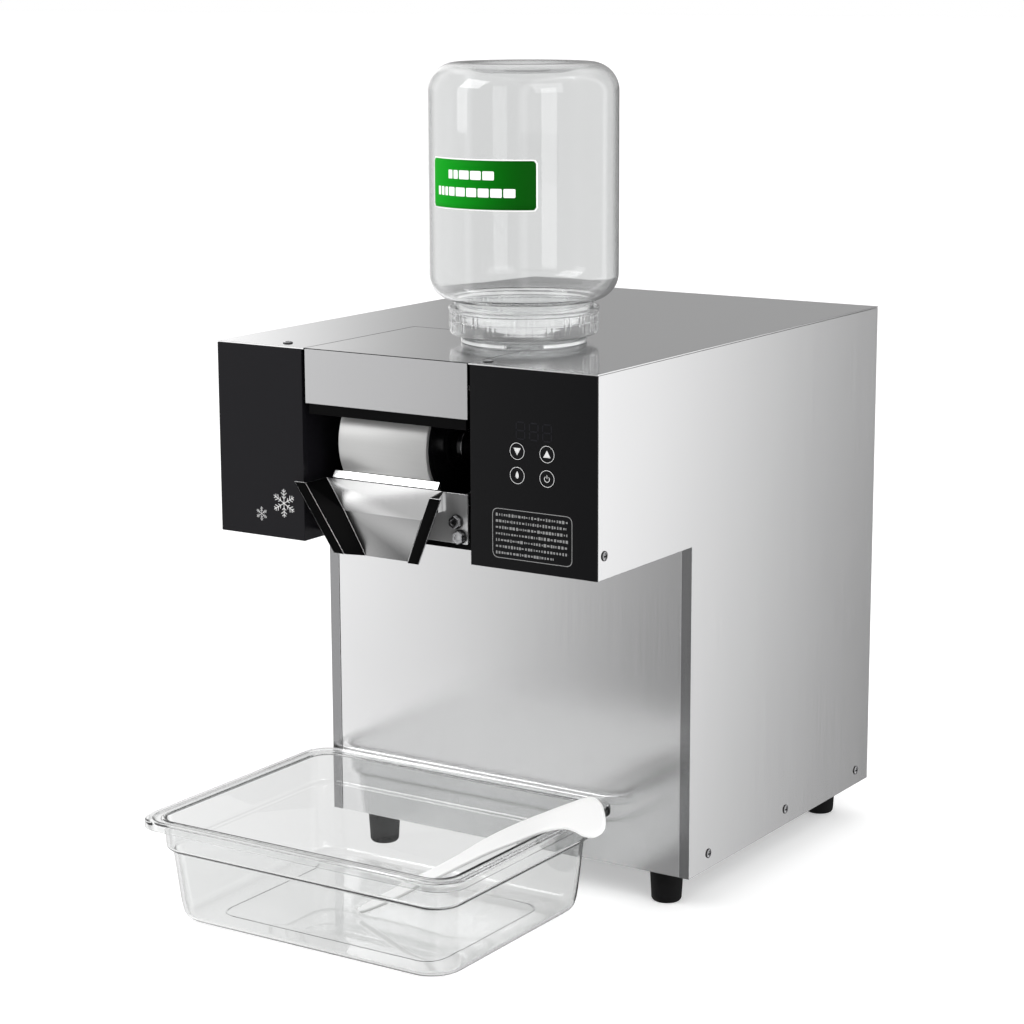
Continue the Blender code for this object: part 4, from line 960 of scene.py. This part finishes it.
strokes = [(0, 1), (0.5, 0.5), (0.5, -0.5), (0, -1), (-0.5, -0.5), (-0.5, 0.5), (0, 0)]
starts = [0.1185 + DIGIT_STEP * digit for digit in range(3)]
digit_middles = [(start + 0.0080 * x, 0.4405 + 0.0068 * z) for start in starts for x, z in strokes]
lying = [z in (1, -1, 0) for x, z in strokes] * len(starts)
digit_sizes = [(0.0062, 0.0011) if flat else (0.0011, 0.0052) for flat in lying]
bars("display_digits", digit_middles, digit_sizes, np.zeros(len(digit_sizes)), GHOST, slot="black_fascia")


BRANCH_LEAN = np.pi / 3.4
STROKE = 0.045


def snowflake(name, x, z, size):
    """Six arms at every 60 degrees, each with three pairs of branches that lean out from it."""
    arm = np.arange(6) * np.pi / 3 + np.pi / 2
    spot, shape, lean = [], [], []
    strokes = [(0.5, 0, 1.0)]
    for reach, length in ((0.34, 0.22), (0.56, 0.30), (0.78, 0.20)):
        strokes += [(reach, 1, length), (reach, -1, length)]
    for reach, side, length in strokes:
        turn = arm + side * BRANCH_LEAN
        along_x = reach * np.cos(arm) + (side != 0) * length / 2 * np.cos(turn)
        along_z = reach * np.sin(arm) + (side != 0) * length / 2 * np.sin(turn)
        spot.append(np.stack([x + size * along_x, z + size * along_z], axis=1))
        shape.append(np.tile((size * length, size * STROKE), (6, 1)))
        lean.append(turn)
    return bars(name, np.concatenate(spot), np.concatenate(shape), np.concatenate(lean))


snowflake("snowflake_large", -0.1216, 0.3560, 0.0124)
snowflake("snowflake_small", -0.1460, 0.3445, 0.0062)
print("prints done")

# %% [markdown]
# What is inside keeps its CAD shape, and each node gets the finish of its real part.

# %% Other CAD pieces
LOOKS = {
    "base_pan": ZINC, "drum_bay_liner": SATIN_AND_SHADE, "liquid_trough": SATIN_AND_SHADE, "display_module": GREY,
    "control_board": BOARD, "bearing_left": BRIGHT, "bearing_right": BRIGHT, "drum_gear": BRASS,
    "motor_pinion": ZINC, "gear_motor": MOTOR, "motor_bracket": ZINC, "feed_tube": SILICONE,
    "valve_plunger": WHITE, "compressor": SATIN_AND_SHADE, "condenser": ALUMINIUM, "condenser_fan": SATIN_AND_SHADE,
    "fan_motor": MOTOR, "suction_pipe": COPPER, "condenser_pipe": COPPER, "power_inlet": SATIN_AND_SHADE,
    "rocker_switch": RUBBER,
}
for node, paint in LOOKS.items():
    mesh = frame["nodes"][node].data
    mesh.materials.clear()
    mesh.materials.append(paint)
print("finished", len(LOOKS), "carried nodes")

# %% [markdown]
# The studio: a pale floor, soft lamps and a sky that is only seen in reflections and through the plastic.
# Steel shows what it mirrors, so the sky is dark straight ahead and bright to the left and right, which
# draws the broad light-to-dark sweep over each sheet. Far round to the sides it falls back to a middle grey.

# %% Studio
CAMERA_TURN = np.radians([33.18, 11.545, -0.24])


def studio():
    """Sky brightness by direction: it rises with |x|, a little sooner or later in each quarter, then falls.

    Eyes see it white, and the first look through clear plastic nearly so.
    """
    world = bpy.data.worlds.new("studio")
    bpy.context.scene.world = world
    sky = Paint("studio", world)
    where = sky.node("ShaderNodeTexCoord", output=0)
    x, y, z = (sky.node("ShaderNodeSeparateXYZ", {}, {0: where}, part) for part in range(3))
    right = x.ramp(-0.05, 0.05)
    behind_left = y.ramp(-0.1, 0.1) * (1 - right)
    reach = abs(x) + right * 0.072 - behind_left * 0.09
    sides = reach.ramp(0.455, 0.615, 0.12, 1.58) - reach.ramp(0.635, 0.72, 0.0, 0.78)
    over = z.ramp(0.45, 0.80) * 0.6
    above = z.ramp(-0.02, 0.06) * behind_left * 0.28
    level = sides + over + above
    seen = sky.node("ShaderNodeLightPath", output=0)
    mirrored = sky.node("ShaderNodeLightPath", output=10).ramp(0.0, 1.0)
    through = sky.node("ShaderNodeLightPath", output=6) * (1 - mirrored)
    level = level + (1.0 - level) * through * 0.85
    level = level + (1.0 - level) * seen
    ground = sky.tree.nodes["Background"]
    sky.join(level, ground.inputs["Strength"])
    ground.inputs["Color"].default_value = (1, 1, 1, 1)


studio()


def lamp(name, place, aim, size, power):
    """A soft square lamp that faces a point."""
    data = bpy.data.lights.new(name, "AREA")
    data.size = size
    data.energy = power
    lit = bpy.data.objects.new(name, data)
    way = np.array(place, float) - np.array(aim, float)
    back = way / np.linalg.norm(way)
    right = np.cross([0, 0, 1], back)
    right /= np.linalg.norm(right)
    turn = np.column_stack([right, np.cross(back, right), back])
    lit.matrix_world = Matrix.Translation(place) @ Matrix(turn.tolist()).to_4x4()
    bpy.context.scene.collection.objects.link(lit)
    return lit


lamp("key_lamp", (-1.6, -2.2, 2.4), (0, 0, 0.3), 1.6, 30)
lamp("fill_lamp", (2.4, -1.2, 1.8), (0, 0, 0.3), 1.8, 14)
for strip_name, place in (("strip_left", (-1.7, -1.8, 1.2)), ("strip_right", (1.9, -1.0, 0.9))):
    strip = lamp(strip_name, place, (0, 0, 0.6), 0.70, 5)
    strip.data.shape = "RECTANGLE"
    strip.data.size_y = 1.3

span = np.array([-40.0, 40.0])
xs, ys = np.meshgrid(span, span)
floor = surface("floor", np.stack([xs, ys, 0 * xs - 0.0002], axis=-1))
floor_paint = Paint("floor_pale", Base_Color=(0.9, 0.9, 0.9), Roughness=0.9, Specular_IOR_Level=0.0)
floor_paint.feed(Emission_Color=(1.0, 1.0, 1.0), Emission_Strength=0.30)
floor.data.materials.append(floor_paint.holder)
floor.visible_glossy = False
floor.visible_transmission = False

# %% [markdown]
# The camera stands to the right of the machine and looks slightly down, with a moderately long lens.

# %% Camera
azimuth, elevation, roll = CAMERA_TURN
level = np.cos(elevation)
back = np.array([np.sin(azimuth) * level, -np.cos(azimuth) * level, np.sin(elevation)])
side = np.cross(-back, [0, 0, 1])
side /= np.linalg.norm(side)
upward = np.cross(side, -back)
right = side * np.cos(roll) + upward * np.sin(roll)
upright = upward * np.cos(roll) - side * np.sin(roll)
lens = bpy.data.cameras.new("camera")
lens.lens = 93.07
lens.sensor_width = 36.0
camera = bpy.data.objects.new("camera", lens)
turn = Matrix(np.column_stack([right, upright, back]).tolist()).to_4x4()
camera.matrix_world = Matrix.Translation(np.array([1.2489, -1.7417, 0.7986]) + HOME) @ turn
bpy.context.scene.collection.objects.link(camera)
bpy.context.scene.camera = camera
bpy.context.scene.view_settings.view_transform = "Standard"
